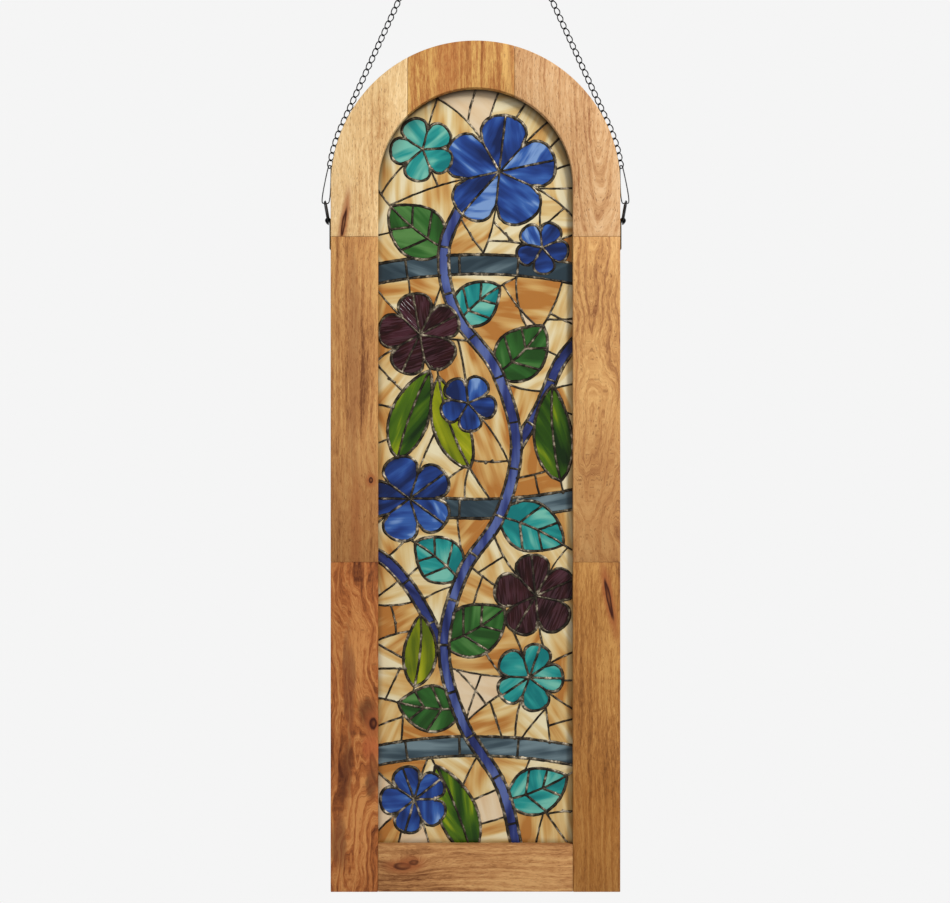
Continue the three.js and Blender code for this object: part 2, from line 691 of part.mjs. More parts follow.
function addHanger(side, black, grey) {
  const outer = EYE_RADIUS + STRAP_THICKNESS;
  const steps = 8;
  const outline = [[OUTER_RADIUS, EYE_CENTRE_Z - STRAP_LENGTH]];
  outline.push([OUTER_RADIUS + STRAP_THICKNESS, EYE_CENTRE_Z - STRAP_LENGTH]);
  outline.push([OUTER_RADIUS + STRAP_THICKNESS, EYE_CENTRE_Z - outer]);
  for (let i = 0; i <= steps; i += 1) {
    const angle = -Math.PI / 2 + 1.5 * Math.PI * i / steps;
    outline.push([EYE_CENTRE_X + outer * Math.cos(angle), EYE_CENTRE_Z + outer * Math.sin(angle)]);
  }
  const eye = [];
  for (let i = 0; i < steps; i += 1) {
    const angle = 2 * Math.PI * i / steps;
    eye.push([EYE_CENTRE_X + EYE_RADIUS * Math.cos(angle), EYE_CENTRE_Z + EYE_RADIUS * Math.sin(angle)]);
  }
  const half = STRAP_WIDTH / 2;
  const mirrored = (points) => points.map(([x, z]) => [side * x, z]);
  const strap = slab(mirrored(outline), -half, half)
    .subtract(slab(mirrored(eye), -half - 1, half + 1))
    .subtract(pilotHole(side));
  const name = side < 0 ? 'left' : 'right';
  addPiece(`hanger_${name}`, geometryOf(strap), black);
  addPiece(`hanger_screw_${name}`, geometryOf(placedScrew(side, 0, 0)), grey);
}

const black = material(0x161616, 0.4, 0.9);
const grey = material(0x6a6c6e, 0.35, 0.9);

addFrame();
addPanel();
addChain(black);
for (const side of [-1, 1]) {
  addRing(side, black);
  addClip(side, grey);
  addHanger(side, black, grey);
}

export default root;
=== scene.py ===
# Looks of an arched stained glass window that hangs from a chain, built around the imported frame.
# Sizes and places are in millimetres in the part's own frame, and meshes are made in metres.
import math

import bpy
import numpy as np
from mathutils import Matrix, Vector, geometry, noise


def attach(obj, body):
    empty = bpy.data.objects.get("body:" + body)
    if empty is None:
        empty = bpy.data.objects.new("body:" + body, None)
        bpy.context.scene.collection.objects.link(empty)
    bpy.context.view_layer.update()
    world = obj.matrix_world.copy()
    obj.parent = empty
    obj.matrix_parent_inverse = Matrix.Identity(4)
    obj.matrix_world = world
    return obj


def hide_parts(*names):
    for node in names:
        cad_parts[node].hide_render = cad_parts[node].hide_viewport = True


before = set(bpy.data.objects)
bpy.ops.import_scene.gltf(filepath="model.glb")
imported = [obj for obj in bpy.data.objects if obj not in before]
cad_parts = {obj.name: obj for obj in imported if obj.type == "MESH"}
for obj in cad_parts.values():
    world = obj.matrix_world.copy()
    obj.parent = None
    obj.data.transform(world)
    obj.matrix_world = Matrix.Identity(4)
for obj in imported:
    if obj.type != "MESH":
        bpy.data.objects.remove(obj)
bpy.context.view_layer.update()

MM = 0.001
SIDES = ((-1, "left"), (1, "right"))

# The wooden frame, as in the part's source
FRAME_HEIGHT = 914
BOARD_WIDTH = 50.8
FRAME_WIDTH = 311
FRAME_DEPTH = 22
ARCH_LEG = 55
STILE_SPLIT = 354
GLUE_JOINT_LEFT = -73
GLUE_JOINT_RIGHT = 42
GLUE_GAP = 0.3
GROOVE_DEPTH = 6
CHAIN_RISE = 215
OUTER_RADIUS = FRAME_WIDTH / 2
INNER_RADIUS = OUTER_RADIUS - BOARD_WIDTH
FRONT = -FRAME_DEPTH / 2
CROWN_Z = -CHAIN_RISE
SPRING_Z = CROWN_Z - OUTER_RADIUS
BOTTOM_Z = CROWN_Z - FRAME_HEIGHT
SILL_Z = BOTTOM_Z + BOARD_WIDTH
LEG_Z = SPRING_Z - ARCH_LEG
SPLIT_Z = BOTTOM_Z + STILE_SPLIT

# The glass panel
GLASS_THICKNESS = 3
LINE_WIDTH = 4.2
SEAM_WIDTH = 3.4
GROUND_SEAM_WIDTH = 2.9
LINE_DEPTH = 5
STEM_WIDTH = 11.5
BAND_HEIGHT = 21
EDGE_REACH = 3.9

# The chain, the clips, the rings and the hangers
LINK_PITCH = 8.2
LINK_WIDTH = 6.6
LINK_WIRE = 1.3
CHAIN_END_ANGLE = 82.5
CLIP_WIRE = 1.3
CLIP_WIDE = 11.4
CLIP_NARROW = 4.8
RING_WIRE = 2.4
RING_HEIGHT = 24
RING_WIDTH = 17
RING_LEAN = 10
RING_BAR_DROP = 37
STRAP_THICKNESS = 1.8
STRAP_WIDTH = 11
STRAP_LENGTH = 30.5
SCREW_HEAD = 6
SCREW_DROP = 23
FIT_GAP = 0.3

# The camera looks straight at the window, from a little above the middle of its frame
CAMERA_X = -0.5
CAMERA_Z = BOTTOM_Z + 472.7
CAMERA_DISTANCE = 1560
FRAME_ACROSS = 1019.5
SENSOR_WIDTH = 36


def add_camera():
    """The camera's field is set by how much of the frame's front plane it shows across."""
    data = bpy.data.cameras.new("camera")
    data.sensor_width = SENSOR_WIDTH
    data.lens = SENSOR_WIDTH * CAMERA_DISTANCE / FRAME_ACROSS
    camera = bpy.data.objects.new("camera", data)
    bpy.context.scene.collection.objects.link(camera)
    camera.location = (CAMERA_X * MM, (FRONT - CAMERA_DISTANCE) * MM, CAMERA_Z * MM)
    camera.rotation_euler = (math.pi / 2, 0, 0)
    bpy.context.scene.camera = camera


add_camera()


# Meshes


class Shape:
    """Points and faces of one piece, put together from several parts."""

    def __init__(self):
        self.points = []
        self.faces = []
        self.count = 0
        self.extra = {}

    def add(self, points, faces, **extra):
        points = np.asarray(points, float).reshape(-1, 3)
        self.points.append(points)
        self.faces.extend([[i + self.count for i in face] for face in faces])
        self.count += len(points)
        for key, value in extra.items():
            self.extra.setdefault(key, []).append(np.broadcast_to(value, (len(points), np.size(value[0]))))

    def object(self, name, look, sharp=40):
        mesh = bpy.data.meshes.new(name)
        mesh.from_pydata((np.concatenate(self.points) * MM).tolist(), [], self.faces)
        for key, parts in self.extra.items():
            values = np.concatenate(parts).astype(np.float32)
            kind, field = ("FLOAT_VECTOR", "vector") if values.shape[1] == 3 else ("FLOAT", "value")
            mesh.attributes.new(key, kind, "POINT").data.foreach_set(field, values.ravel())
        mesh.shade_smooth()
        mesh.set_sharp_from_angle(angle=math.radians(sharp))
        mesh.materials.append(look)
        made = bpy.data.objects.new(name, mesh)
        bpy.context.scene.collection.objects.link(made)
        return made


def piece(name, shape, look, nodes, sharp=40):
    """Makes the shape a piece of the window that stands for the named nodes."""
    made = shape.object(name, look, sharp)
    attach(made, "root")
    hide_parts(*nodes)


def turns(count):
    """Even angles all the way round."""
    return [2 * math.pi * k / count for k in range(count)]


def at_angle(angle, reach=1.0):
    """A point at a distance and an angle, or the direction to it."""
    return np.array([reach * math.cos(angle), reach * math.sin(angle)])


def fuller(value, power):
    """A sine or cosine drawn towards one, which squares off the circle that it belongs to."""
    return math.copysign(abs(value) ** power, value)


def directions(line, closed=False):
    """The unit direction of a line at each of its points."""
    if closed:
        along = np.roll(line, -1, axis=0) - np.roll(line, 1, axis=0)
    else:
        along = np.gradient(line, axis=0)
    return along / np.linalg.norm(along, axis=1)[:, None]


def distances(line):
    """How far along a line each of its points lies."""
    return np.concatenate([[0], np.cumsum(np.linalg.norm(np.diff(line, axis=0), axis=1))])


def ring_faces(rings, sides, closed):
    """Faces of a skin over rings of points, one after the other, with ends unless it is closed."""
    faces = []
    for i in range(rings if closed else rings - 1):
        here, there = i * sides, (i + 1) % rings * sides
        for k in range(sides):
            side = (k + 1) % sides
            faces.append([here + k, here + side, there + side, there + k])
    if not closed:
        faces.append(list(range(sides))[::-1])
        faces.append([(rings - 1) * sides + k for k in range(sides)])
    return faces


def tube(points, normal, wide, deep, sides=8, closed=False):
    """A tube along points that lie in a plane: wide and deep are its half sizes in and out of that plane."""
    points = np.asarray(points, float)
    normal = np.asarray(normal, float)
    across = np.cross(directions(points, closed), normal)
    turn = turns(sides)
    wide = np.broadcast_to(wide, len(points))[:, None, None]
    deep = np.broadcast_to(deep, len(points))[:, None, None]
    rings = (points[:, None, :]
             + across[:, None, :] * np.cos(turn)[None, :, None] * wide
             + normal[None, None, :] * np.sin(turn)[None, :, None] * deep)
    return rings.reshape(-1, 3), ring_faces(len(points), sides, closed)


def ball(centre, radii, sides=8, rows=5):
    """A closed ball with its own radius along each axis."""
    points = [(0, -1, 0)]
    for row in range(1, rows):
        height = -math.cos(math.pi * row / rows)
        reach = math.sin(math.pi * row / rows)
        for angle in turns(sides):
            points.append((reach * math.cos(angle), height, reach * math.sin(angle)))
    points.append((0, 1, 0))
    faces = [[0, 1 + (k + 1) % sides, 1 + k] for k in range(sides)]
    for row in range(rows - 2):
        here = 1 + row * sides
        for k in range(sides):
            side = (k + 1) % sides
            faces.append([here + k, here + side, here + sides + side, here + sides + k])
    last = 1 + (rows - 1) * sides
    faces += [[last, last - sides + k, last - sides + (k + 1) % sides] for k in range(sides)]
    return np.array(points) * np.array(radii) + np.array(centre), faces


# Materials


def tone(red, green, blue):
    """A colour given as the eye sees it on screen, 0 to 255, as a shader takes it."""
    parts = [c / 255 for c in (red, green, blue)]
    return tuple(c / 12.92 if c <= 0.04045 else ((c + 0.055) / 1.055) ** 2.4 for c in parts) + (1.0,)


def set_stops(elements, stops):
    """Fills a colour ramp with stops, each with its place and colour."""
    while len(elements) < len(stops):
        elements.new(0.5)
    for element, (position, colour) in zip(elements, stops):
        element.position = position
        element.color = tone(*colour)


class Signal:
    """A node output that is added and multiplied like a number."""

    def __init__(self, look, socket):
        self.look = look
        self.socket = socket

    def __add__(self, other):
        return self.look.maths("ADD", self, other)

    def __sub__(self, other):
        return self.look.maths("SUBTRACT", self, other)

    def __mul__(self, other):
        return self.look.maths("MULTIPLY", self, other)


class Look:
    """A material and short ways to add nodes to it."""

    def __init__(self, name, roughness=0.5, metallic=0.0):
        self.material = bpy.data.materials.new(name)
        self.material.use_nodes = True
        self.tree = self.material.node_tree
        self.shader = self.tree.nodes["Principled BSDF"]
        self.shader.inputs["Roughness"].default_value = roughness
        self.shader.inputs["Metallic"].default_value = metallic
        self.shader.inputs["Specular IOR Level"].default_value = 0.5 if metallic else 0.12

    def feed(self, socket, value):
        """Gives a socket a signal, a number or a colour of three numbers."""
        if isinstance(value, Signal):
            self.tree.links.new(value.socket, socket)
        else:
            socket.default_value = tone(*value) if isinstance(value, tuple) else value

    def node(self, kind, inputs, **settings):
        """A new node with its settings made and the named or numbered inputs fed."""
        node = self.tree.nodes.new("ShaderNode" + kind)
        for key, value in settings.items():
            setattr(node, key, value)
        for key, value in inputs.items():
            self.feed(node.inputs[key], value)
        return node

    def maths(self, operation, *values):
        node = self.node("Math", dict(enumerate(values)), operation=operation)
        return Signal(self, node.outputs[0])

    def place(self):
        """The point's x, y and z in millimetres."""
        metres = Signal(self, self.node("TexCoord", {}).outputs["Object"])
        scaled = self.node("VectorMath", {0: metres, "Scale": 1 / MM}, operation="SCALE")
        return self.split(Signal(self, scaled.outputs[0]))

    def split(self, vector):
        return [Signal(self, output) for output in self.node("SeparateXYZ", {0: vector}).outputs]

    def attribute(self, name, output="Vector"):
        return Signal(self, self.node("Attribute", {}, attribute_name=name).outputs[output])

    def noise(self, parts, sizes, detail=2.0, roughness=0.5, distortion=0.0):
        """Noise whose blots are about as large as sizes along each part."""
        scaled = self.node("CombineXYZ", {k: part * (1 / size)
                                          for k, (part, size) in enumerate(zip(parts, sizes))})
        node = self.node("TexNoise", {
            "Vector": Signal(self, scaled.outputs[0]), "Scale": 1.0, "Detail": detail,
            "Roughness": roughness, "Distortion": distortion})
        return Signal(self, node.outputs[0])

    def blots(self, size, detail=2.0, roughness=0.5):
        """Noise all over the piece, with blots of one size."""
        return self.noise(self.place(), (size, size, size), detail, roughness)

    def step(self, value, start, end, low=0.0, high=1.0):
        """Goes smoothly from low to high while value goes from start to end."""
        inputs = dict(enumerate((value, start, end, low, high)))
        node = self.node("MapRange", inputs, interpolation_type="SMOOTHSTEP")
        return Signal(self, node.outputs[0])

    def ramp(self, value, stops):
        """Goes through the stops' colours, each with its value first."""
        node = self.node("ValToRGB", {0: value})
        set_stops(node.color_ramp.elements, stops)
        return Signal(self, node.outputs[0])

    def mix(self, amount, first, second):
        node = self.node("Mix", {}, data_type="RGBA")
        for socket, value in zip((node.inputs[0], node.inputs[6], node.inputs[7]), (amount, first, second)):
            self.feed(socket, value)
        return Signal(self, node.outputs[2])

    def paint(self, colour, roughness=None):
        """Gives the surface its colour and, where it varies, its roughness."""
        self.feed(self.shader.inputs["Base Color"], colour)
        if roughness:
            self.feed(self.shader.inputs["Roughness"], roughness)

    def bump(self, height, depth):
        """Relief of the surface: depth is in millimetres for a height of one."""
        node = self.node("Bump", {"Distance": depth * MM, "Height": height})
        self.tree.links.new(node.outputs[0], self.shader.inputs["Normal"])


def wood(name, light, middle, dark, pith, lean=0.0, spacing=6, wobble=4, curl=210, rings=0.3,
         streaks=0.5, pores=0.5, level=False, knots=(), stains_and_shade=()):
    """Wood cut from a log. Pith is the log's middle: its place across, and how far it lies in front of the
    window's middle plane at the place along that the third number gives. Lean is how much further in front
    it comes with each millimetre along. Curl is how far apart the grain's bends are. Each knot has its
    place across and along, half its width and length, how far it pushes the rings aside, how dark it is
    and its slant. Each stain, or patch of painted shade, has its place, half its size, its strength and
    its colour."""
    look = Look(name, roughness=0.52)
    x, y, z = look.place()
    across, along = (z, x) if level else (x, z)
    drift = look.noise((across, y, along), (60, 60, curl), detail=2)
    shiver = look.noise((across, y, along), (9, 9, 46), detail=2, roughness=0.5)
    sideways = across - pith[0]
    behind = y + pith[1] + (along - pith[2]) * lean
    reach = look.maths("SQRT", sideways * sideways + behind * behind)
    reach = reach + (drift - 0.5) * (5 * wobble) + (shiver - 0.5) * (1.2 * wobble)
    cores = []
    for centre_across, centre_along, half_width, half_length, push, depth, slant in knots:
        p = (across - centre_across - (along - centre_along) * slant) * (1 / half_width)
        q = (along - centre_along) * (1 / half_length)
        distance = look.maths("SQRT", p * p + q * q)
        reach = reach + look.maths("DIVIDE", push, distance * distance * 0.25 + 1)
        cores.append((distance + (shiver - 0.5) * 1.6, depth))
    band = look.maths("FRACT", reach * (1 / spacing))
    strength = look.noise((reach, y, along), (9, 11, 240), detail=1)
    line = look.step(band, 0.1, 0.8) * look.step(band, 1.0, 0.86) * look.step(strength, 0.3, 0.7)
    fibre = look.noise((reach, y, along), (1.0, 1.3, 8), detail=3, roughness=0.7)
    streak = look.noise((reach, y, along), (4.2, 6, 170), detail=4, roughness=0.62)
    patch = look.noise((across, y, along), (34, 36, 110), detail=2)
    fleck = look.noise((reach, y, along), (2.4, 2.6, 10), detail=2)
    shade = (line * rings + (fibre - 0.5) * 1.25 + (streak - 0.5) * (2.4 * streaks)
             + (patch - 0.5) * 1.0 + (fleck - 0.5) * 0.5 + (0.46 - rings * 0.3))
    colour = look.ramp(shade, [(0.05, light), (0.48, middle), (0.98, dark)])
    for centre_across, centre_along, half_width, half_length, amount, tint in stains_and_shade:
        p = (across + (drift - 0.5) * 24 + (shiver - 0.5) * 14 - centre_across) * (1 / half_width)
        q = (along - centre_along) * (1 / half_length)
        cover = look.step(p * p + q * q + (streak - 0.5) * 3.0, 1.6, 0.0) * amount
        colour = look.mix(cover, colour, tint)
    pore = look.noise((reach, y, along), (0.75, 0.75, 4), detail=1)
    pore_cover = look.step(pore, 0.6, 0.72) * look.step(patch, 0.25, 0.75, 0.6, 1.0) * pores
    colour = look.mix(pore_cover, colour, (108, 62, 32))
    for wavy, depth in cores:
        halo = look.step(wavy, 3.4, 0.9) * (0.8 * depth)
        colour = look.mix(halo, colour, (150, 82, 44))
        core = look.step(wavy, 1.3, 0.85) * look.step(wavy, 0.0, 0.9, 0.4, 1.0) * depth
        colour = look.mix(core, colour, (56, 22, 12))
    look.paint(colour, look.step(fibre, 0.2, 0.8, 0.46, 0.62))
    look.bump(fibre * 0.5 - pore_cover + line * 0.3, 0.12)
    return look.material


def painted_edge_shade(look):
    """How much painted shade darkens the panel close to the frame, where the frame's edge shades it, most of
    all under the arch.
    """
    x, y, z = look.place()
    above = look.maths("MAXIMUM", z - SPRING_Z, 0.0)
    inset = look.maths("SQRT", x * x + above * above) * -1.0 + INNER_RADIUS
    inset = look.maths("MINIMUM", inset, z - SILL_Z)
    return (look.step(inset, 6, 0) * 0.3
            + look.step(inset, 20, -4) * look.step(z, SPRING_Z - 60, SPRING_Z + 50) * 0.6)


def glass(name, stops, stretch=5.0, ripple=0.0, spread=0.35, blush=None):
    """Opalescent glass: wisps of colour run along each tile's own direction. Some tiles take the blush."""
    look = Look(name, roughness=0.16)
    look.shader.inputs["IOR"].default_value = 1.52
    flow = look.split(look.attribute("flow"))
    tint = look.attribute("tint", "Fac")
    wisps = look.noise(flow, (9 * stretch, 12, 1), detail=1, distortion=0.3)
    threads = look.noise(flow, (9 * stretch, 3.6, 1), detail=2, roughness=0.45, distortion=0.2)
    shade = (wisps - 0.5) * 2.0 + (threads - 0.5) * 0.55 + (tint - 0.5) * (2 * spread) + 0.5
    colour = look.ramp(shade, stops)
    if blush:
        colour = look.mix(look.step(tint, 0.12, 0.08) * 0.7, colour, blush)
    swell = look.blots(14, detail=1)
    height = swell + threads * 0.12
    if ripple:
        waves = look.noise(flow, (24, 2.1, 1), detail=1, distortion=0.5)
        crest = look.step(waves, 0.42, 0.62)
        # The ripples' crests are painted lighter, a painted highlight along the ripples; their relief comes
        # from the bump.
        colour = look.mix(crest * 0.35, colour, (92, 60, 70))
        height = height + crest * ripple
    # Painted shade: the glass is darkened close to the frame, most of all under the arch.
    colour = look.mix(painted_edge_shade(look), colour, (30, 20, 12))
    look.paint(colour)
    look.bump(height, 0.35)
    return look.material


def solder():
    look = Look("solder", roughness=0.38, metallic=0.85)
    lumps = look.blots(2.4, detail=3, roughness=0.6)
    patina_and_glints = look.blots(8)
    shade = (lumps - 0.5) * 0.8 + (patina_and_glints - 0.5) * 2.0 + 0.4
    # The light end of the ramp is partly the solder's own bright, unpatinated metal and partly painted
    # glints along the beads.
    colour = look.ramp(shade, [(0.2, (42, 37, 31)), (0.54, (84, 75, 60)), (0.92, (196, 182, 158))])
    # Painted shade: the solder is darkened close to the frame, most of all under the arch.
    colour = look.mix(painted_edge_shade(look), colour, (30, 20, 12))
    look.paint(colour, look.step(patina_and_glints, 0.3, 0.7, 0.28, 0.5))
    look.bump(lumps, 0.5)
    return look.material


def metal(name, dark, light, roughness):
    look = Look(name, roughness=roughness, metallic=0.9)
    grain = look.blots(0.7)
    wear = look.blots(5, detail=4, roughness=0.65)
    colour = look.ramp((wear - 0.5) * 1.6 + (grain - 0.5) * 0.4 + 0.5, [(0.25, dark), (0.8, light)])
    look.paint(colour, look.step(wear, 0.3, 0.7, roughness * 0.8, roughness * 1.25))
    look.bump(grain, 0.05)
    return look.material


# The wooden frame's boards


EDGE_ROUND = 1.0
LEG_SHARE = 0.2


def board_section():
    """A board's section as points of how far out from the opening and how deep, with rounded corners and
    the groove that holds the glass."""
    half = FRAME_DEPTH / 2
    groove_half = LINE_DEPTH / 2 + FIT_GAP
    points = []
    corners = [(BOARD_WIDTH, -half, 1, -1), (BOARD_WIDTH, half, 1, 1), (0, half, -1, 1), (0, -half, -1, -1)]
    for index, (out, deep, out_side, deep_side) in enumerate(corners):
        if index == 3:
            points += [(0, groove_half), (GROOVE_DEPTH, groove_half), (GROOVE_DEPTH, -groove_half),
                       (0, -groove_half)]
        for step in range(4):
            turned = at_angle(math.radians(90 * (index - 1) + 30 * step), EDGE_ROUND)
            points.append((out - out_side * EDGE_ROUND + turned[0],
                           deep - deep_side * EDGE_ROUND + turned[1]))
    return points


def add_board(name, place, stops, look):
    """A board swept through the stops, 0 to 1. Place gives x and z for how far out and how far along."""
    section = board_section()
    half = FRAME_DEPTH / 2
    eased = 0.2
    rings = []
    for index, stop in enumerate(stops):
        ends = index in (0, len(stops) - 1)
        for out, deep in section:
            if ends:
                out = min(max(out, eased), BOARD_WIDTH - eased)
                deep = deep * (half - eased) / half
            x, z = place(out, stop)
            rings.append((x, deep, z))
    shape = Shape()
    shape.add(rings, ring_faces(len(stops), len(section), False))
    piece(f"board_{name}", shape, look, [name], sharp=35)


def arch_place(side, joint_x):
    """Place on an arch board: up its leg, then round to a glue joint where x is joint_x."""

    def place(out, stop):
        radius = INNER_RADIUS + out
        if stop < LEG_SHARE:
            return side * radius, LEG_Z + GLUE_GAP / 2 + (ARCH_LEG - GLUE_GAP / 2) * stop / LEG_SHARE
        last = math.acos(side * joint_x / radius)
        angle = last * (stop - LEG_SHARE) / (1 - LEG_SHARE)
        return side * radius * math.cos(angle), SPRING_Z + radius * math.sin(angle)

    return place


def crown_place(out, stop):
    """Place on the middle board of the arch, between its glue joints."""
    radius = INNER_RADIUS + out
    first = math.acos((GLUE_JOINT_LEFT + GLUE_GAP / 2) / radius)
    last = math.acos((GLUE_JOINT_RIGHT - GLUE_GAP / 2) / radius)
    angle = first + (last - first) * stop
    return radius * math.cos(angle), SPRING_Z + radius * math.sin(angle)


def straight_place(side, low, high):
    def place(out, stop):
        return side * (INNER_RADIUS + out), low + (high - low) * stop

    return place


def sill_place(out, stop):
    reach = INNER_RADIUS - GLUE_GAP
    return reach * (2 * stop - 1), SILL_Z - out


def stops_between(count, ease):
    """Even stops from 0 to 1 with one more close to each end, where the edge is eased."""
    inner = [k / count for k in range(count + 1)]
    return sorted(inner + [ease, 1 - ease])


def add_boards():
    gap = GLUE_GAP / 2
    looks = {
        "arch_left": wood(
            "wood_arch_left", (236, 206, 156), (216, 178, 124), (176, 126, 76), (-420, 30, -380),
            spacing=7, rings=0.14, streaks=0.35, pores=0.6, knots=[(-141, -410, 2, 15, 3, 1, 0.15)]),
        "arch_middle": wood(
            "wood_arch_middle", (208, 163, 93), (174, 116, 62), (126, 68, 32), (160, 60, -240),
            spacing=8, rings=0.2, streaks=0.6,
            stains_and_shade=[(34, -250, 6, 60, 0.7, (222, 176, 104)), (-30, -240, 16, 50, 0.35, (170, 100, 54))]),
        "arch_right": wood(
            "wood_arch_right", (216, 177, 132), (198, 152, 104), (152, 99, 60), (132, 3, -360),
            lean=0.16, spacing=5.2, rings=0.4, streaks=0.3, pores=0.7),
        "stile_left_upper": wood(
            "wood_left_upper", (202, 154, 94), (178, 124, 72), (114, 68, 38), (-60, 24, -600),
            lean=0.02, spacing=9, rings=0.2, streaks=0.8, pores=0.6, knots=[(-112, -687, 2.2, 3.2, 5, 1, 0)],
            stains_and_shade=[(-134, -560, 7, 130, 0.55, (142, 92, 56)), (-128, -745, 8, 70, 0.55, (160, 92, 52)),
                    # The last, broad patch darkens the board towards its lower end.
                    (-130, -760, 50, 110, 0.45, (142, 90, 48))]),
        "stile_left_lower": wood(
            "wood_left_lower", (192, 130, 73), (160, 92, 46), (86, 41, 19), (-90, 14, -900),
            lean=0.05, rings=0.36, streaks=0.8, wobble=9, curl=110,
            knots=[(-98, -985, 24, 46, 44, 0, 0), (-109, -948, 4, 7, 4, 1, 0),
                   (-108, -1000, 4, 16, 3, 0.45, -0.2)],
            stains_and_shade=[(-117, -936, 9, 16, 0.75, (74, 36, 20)), (-113, -975, 10, 14, 0.7, (176, 92, 52)),
                    (-112, -1012, 7, 18, 0.75, (78, 40, 24)), (-136, -905, 5, 60, 0.6, (112, 62, 38)),
                    (-143, -1002, 8, 40, 0.7, (84, 44, 26)), (-148, -1070, 8, 30, 0.6, (96, 54, 34))]),
        "stile_right_upper": wood(
            "wood_right_upper", (215, 168, 107), (189, 137, 82), (140, 90, 54), (124, 6, -560),
            lean=0.05, spacing=7, rings=0.4, pores=0.6, wobble=9, curl=100,
            # The broad patch is painted shade: it darkens the board towards the bottom, where less light
            # falls.
            stains_and_shade=[(132, -770, 40, 150, 0.45, (152, 100, 56))]),
        "stile_right_lower": wood(
            "wood_right_lower", (190, 139, 76), (161, 107, 53), (100, 58, 26), (190, 30, -900),
            spacing=8, rings=0.24, streaks=0.55, pores=0.6, knots=[(143, -814, 2.4, 17, 6, 1, -0.2)],
            # The broad patch darkens the board towards its lower end.
            stains_and_shade=[(130, -1060, 40, 80, 0.4, (146, 90, 34))]),
        "bottom_rail": wood(
            "wood_bottom_rail", (202, 154, 99), (173, 121, 73), (108, 62, 33), (-1200, 30, 0),
            rings=0.24, pores=0.6, level=True,
            knots=[(-1101, -78, 3.4, 8, 14, 0.8, 0), (-1097, -66, 3, 6, 8, 0.7, 0)]),
    }
    boards = [("arch_left", arch_place(-1, GLUE_JOINT_LEFT - gap), 70, 0.002),
              ("arch_right", arch_place(1, GLUE_JOINT_RIGHT + gap), 70, 0.002),
              ("arch_middle", crown_place, 40, 0.003)]
    for side, hand in SIDES:
        boards += [(f"stile_{hand}_upper", straight_place(side, SPLIT_Z + gap, LEG_Z - gap), 6, 0.001),
                   (f"stile_{hand}_lower", straight_place(side, BOTTOM_Z, SPLIT_Z - gap), 6, 0.001)]
    boards.append(("bottom_rail", sill_place, 6, 0.002))
    for name, place, count, ease in boards:
        add_board(name, place, stops_between(count, ease), looks[name])


# The glass picture, from the part's source with smoother curves and more seams. Places are in the
# panel's own plane: u to the right of the middle, v up from the bottom of the opening.


class Motif:
    """One form of the picture: its outline, the seams inside it, and the seeds that seams in the ground
    start from. Each seed has its place, its heading and the shortest seam worth keeping."""

    def __init__(self, name, colour, outline, seams, seeds):
        self.name = name
        self.colour = colour
        self.outline = np.array(outline)
        self.seams = [np.array(seam) for seam in seams]
        self.seeds = seeds


PETAL_REACH = 1.02


def flower(u, v, radius, turn):
    """Round petals with seams from the middle to the notches, and in a large flower along some petals."""
    centre = np.array([u, v])
    petals, notch = 5, 0.6
    outline, seams, seeds = [], [], []
    for k in range(petals):
        middle = math.radians(turn) + 2 * math.pi * k / petals
        half = math.pi / petals
        for step in range(12):
            share = step / 6 - 1
            reach = radius * (notch + (PETAL_REACH - notch) * (1 - abs(share) ** 2.6) ** 0.6)
            outline.append(centre + at_angle(middle + share * half, reach))
        valley = middle - half
        end = centre + at_angle(valley, radius * notch)
        seams.append([centre, end])
        seeds.append((end, valley, 20))
        if radius > 34 and k % 2 == 0:
            seams.append([centre, centre + at_angle(middle, radius * PETAL_REACH)])
    return outline, seams, seeds


def leaf(u, v, length, width, angle, bend, veins=(0.3, 0.58)):
    """A pointed leaf on a bent rib, with pairs of veins that start at shares of its length."""
    start, turn = math.radians(angle), math.radians(bend)
    radius = length / turn

    def rib(s):
        heading = start + turn * s
        return np.array([u + radius * (math.sin(heading) - math.sin(start)),
                         v - radius * (math.cos(heading) - math.cos(start))]), heading

    def edge(s, side):
        at, heading = rib(s)
        half = 0.52 * width * math.sin(math.pi * s ** 0.85) ** 0.75
        return at + side * half * np.array([-math.sin(heading), math.cos(heading)])

    shares = [k / 16 for k in range(1, 16)]
    base, tip = rib(0)[0], rib(1)[0]
    left = [edge(s, 1) for s in shares]
    right = [edge(s, -1) for s in shares]
    seams = [[rib(k / 8)[0] for k in range(9)]]
    for share in veins:
        for side in (-1, 1):
            seams.append([rib(share)[0], edge(share + 0.2, side)])
    seeds = [(tip, start + turn, 4), (base, start + math.pi, 4)]
    return [base, *right, tip, *left[::-1]], seams, seeds


def smooth_line(points, step=3):
    """A smooth line through points."""
    points = np.array(points, float)
    padded = np.vstack([2 * points[0] - points[1], points, 2 * points[-1] - points[-2]])
    line = []
    for p0, p1, p2, p3 in zip(padded, padded[1:], padded[2:], padded[3:]):
        count = max(2, round(float(np.linalg.norm(p2 - p1)) / step))
        for k in range(count):
            t = k / count
            line.append(0.5 * (2 * p1 + (p2 - p0) * t + (2 * p0 - 5 * p1 + 4 * p2 - p3) * t ** 2
                               + (3 * p1 - p0 - 3 * p2 + p3) * t ** 3))
    line.append(points[-1])
    return np.array(line)


def strip(line, width, cuts):
    """A line drawn with a width, and seams across it at every cut."""
    along = directions(line)
    across = np.stack([-along[:, 1], along[:, 0]], axis=1) * width / 2
    outline = np.vstack([line - across, (line + across)[::-1]])
    distance = distances(line)
    seams = []
    for cut in np.arange(cuts * 0.6, distance[-1], cuts):
        i = int(np.searchsorted(distance, cut))
        seams.append([line[i] - across[i], line[i] + across[i]])
    return outline, seams, []


def stem(*points):
    return strip(smooth_line(points), STEM_WIDTH, 52)


def band(v, rise):
    reach = INNER_RADIUS + GROOVE_DEPTH + 4
    line = [(reach * share, v + rise * (1 - share ** 2)) for share in np.linspace(-1, 1, 41)]
    return strip(np.array(line), BAND_HEIGHT, 61)


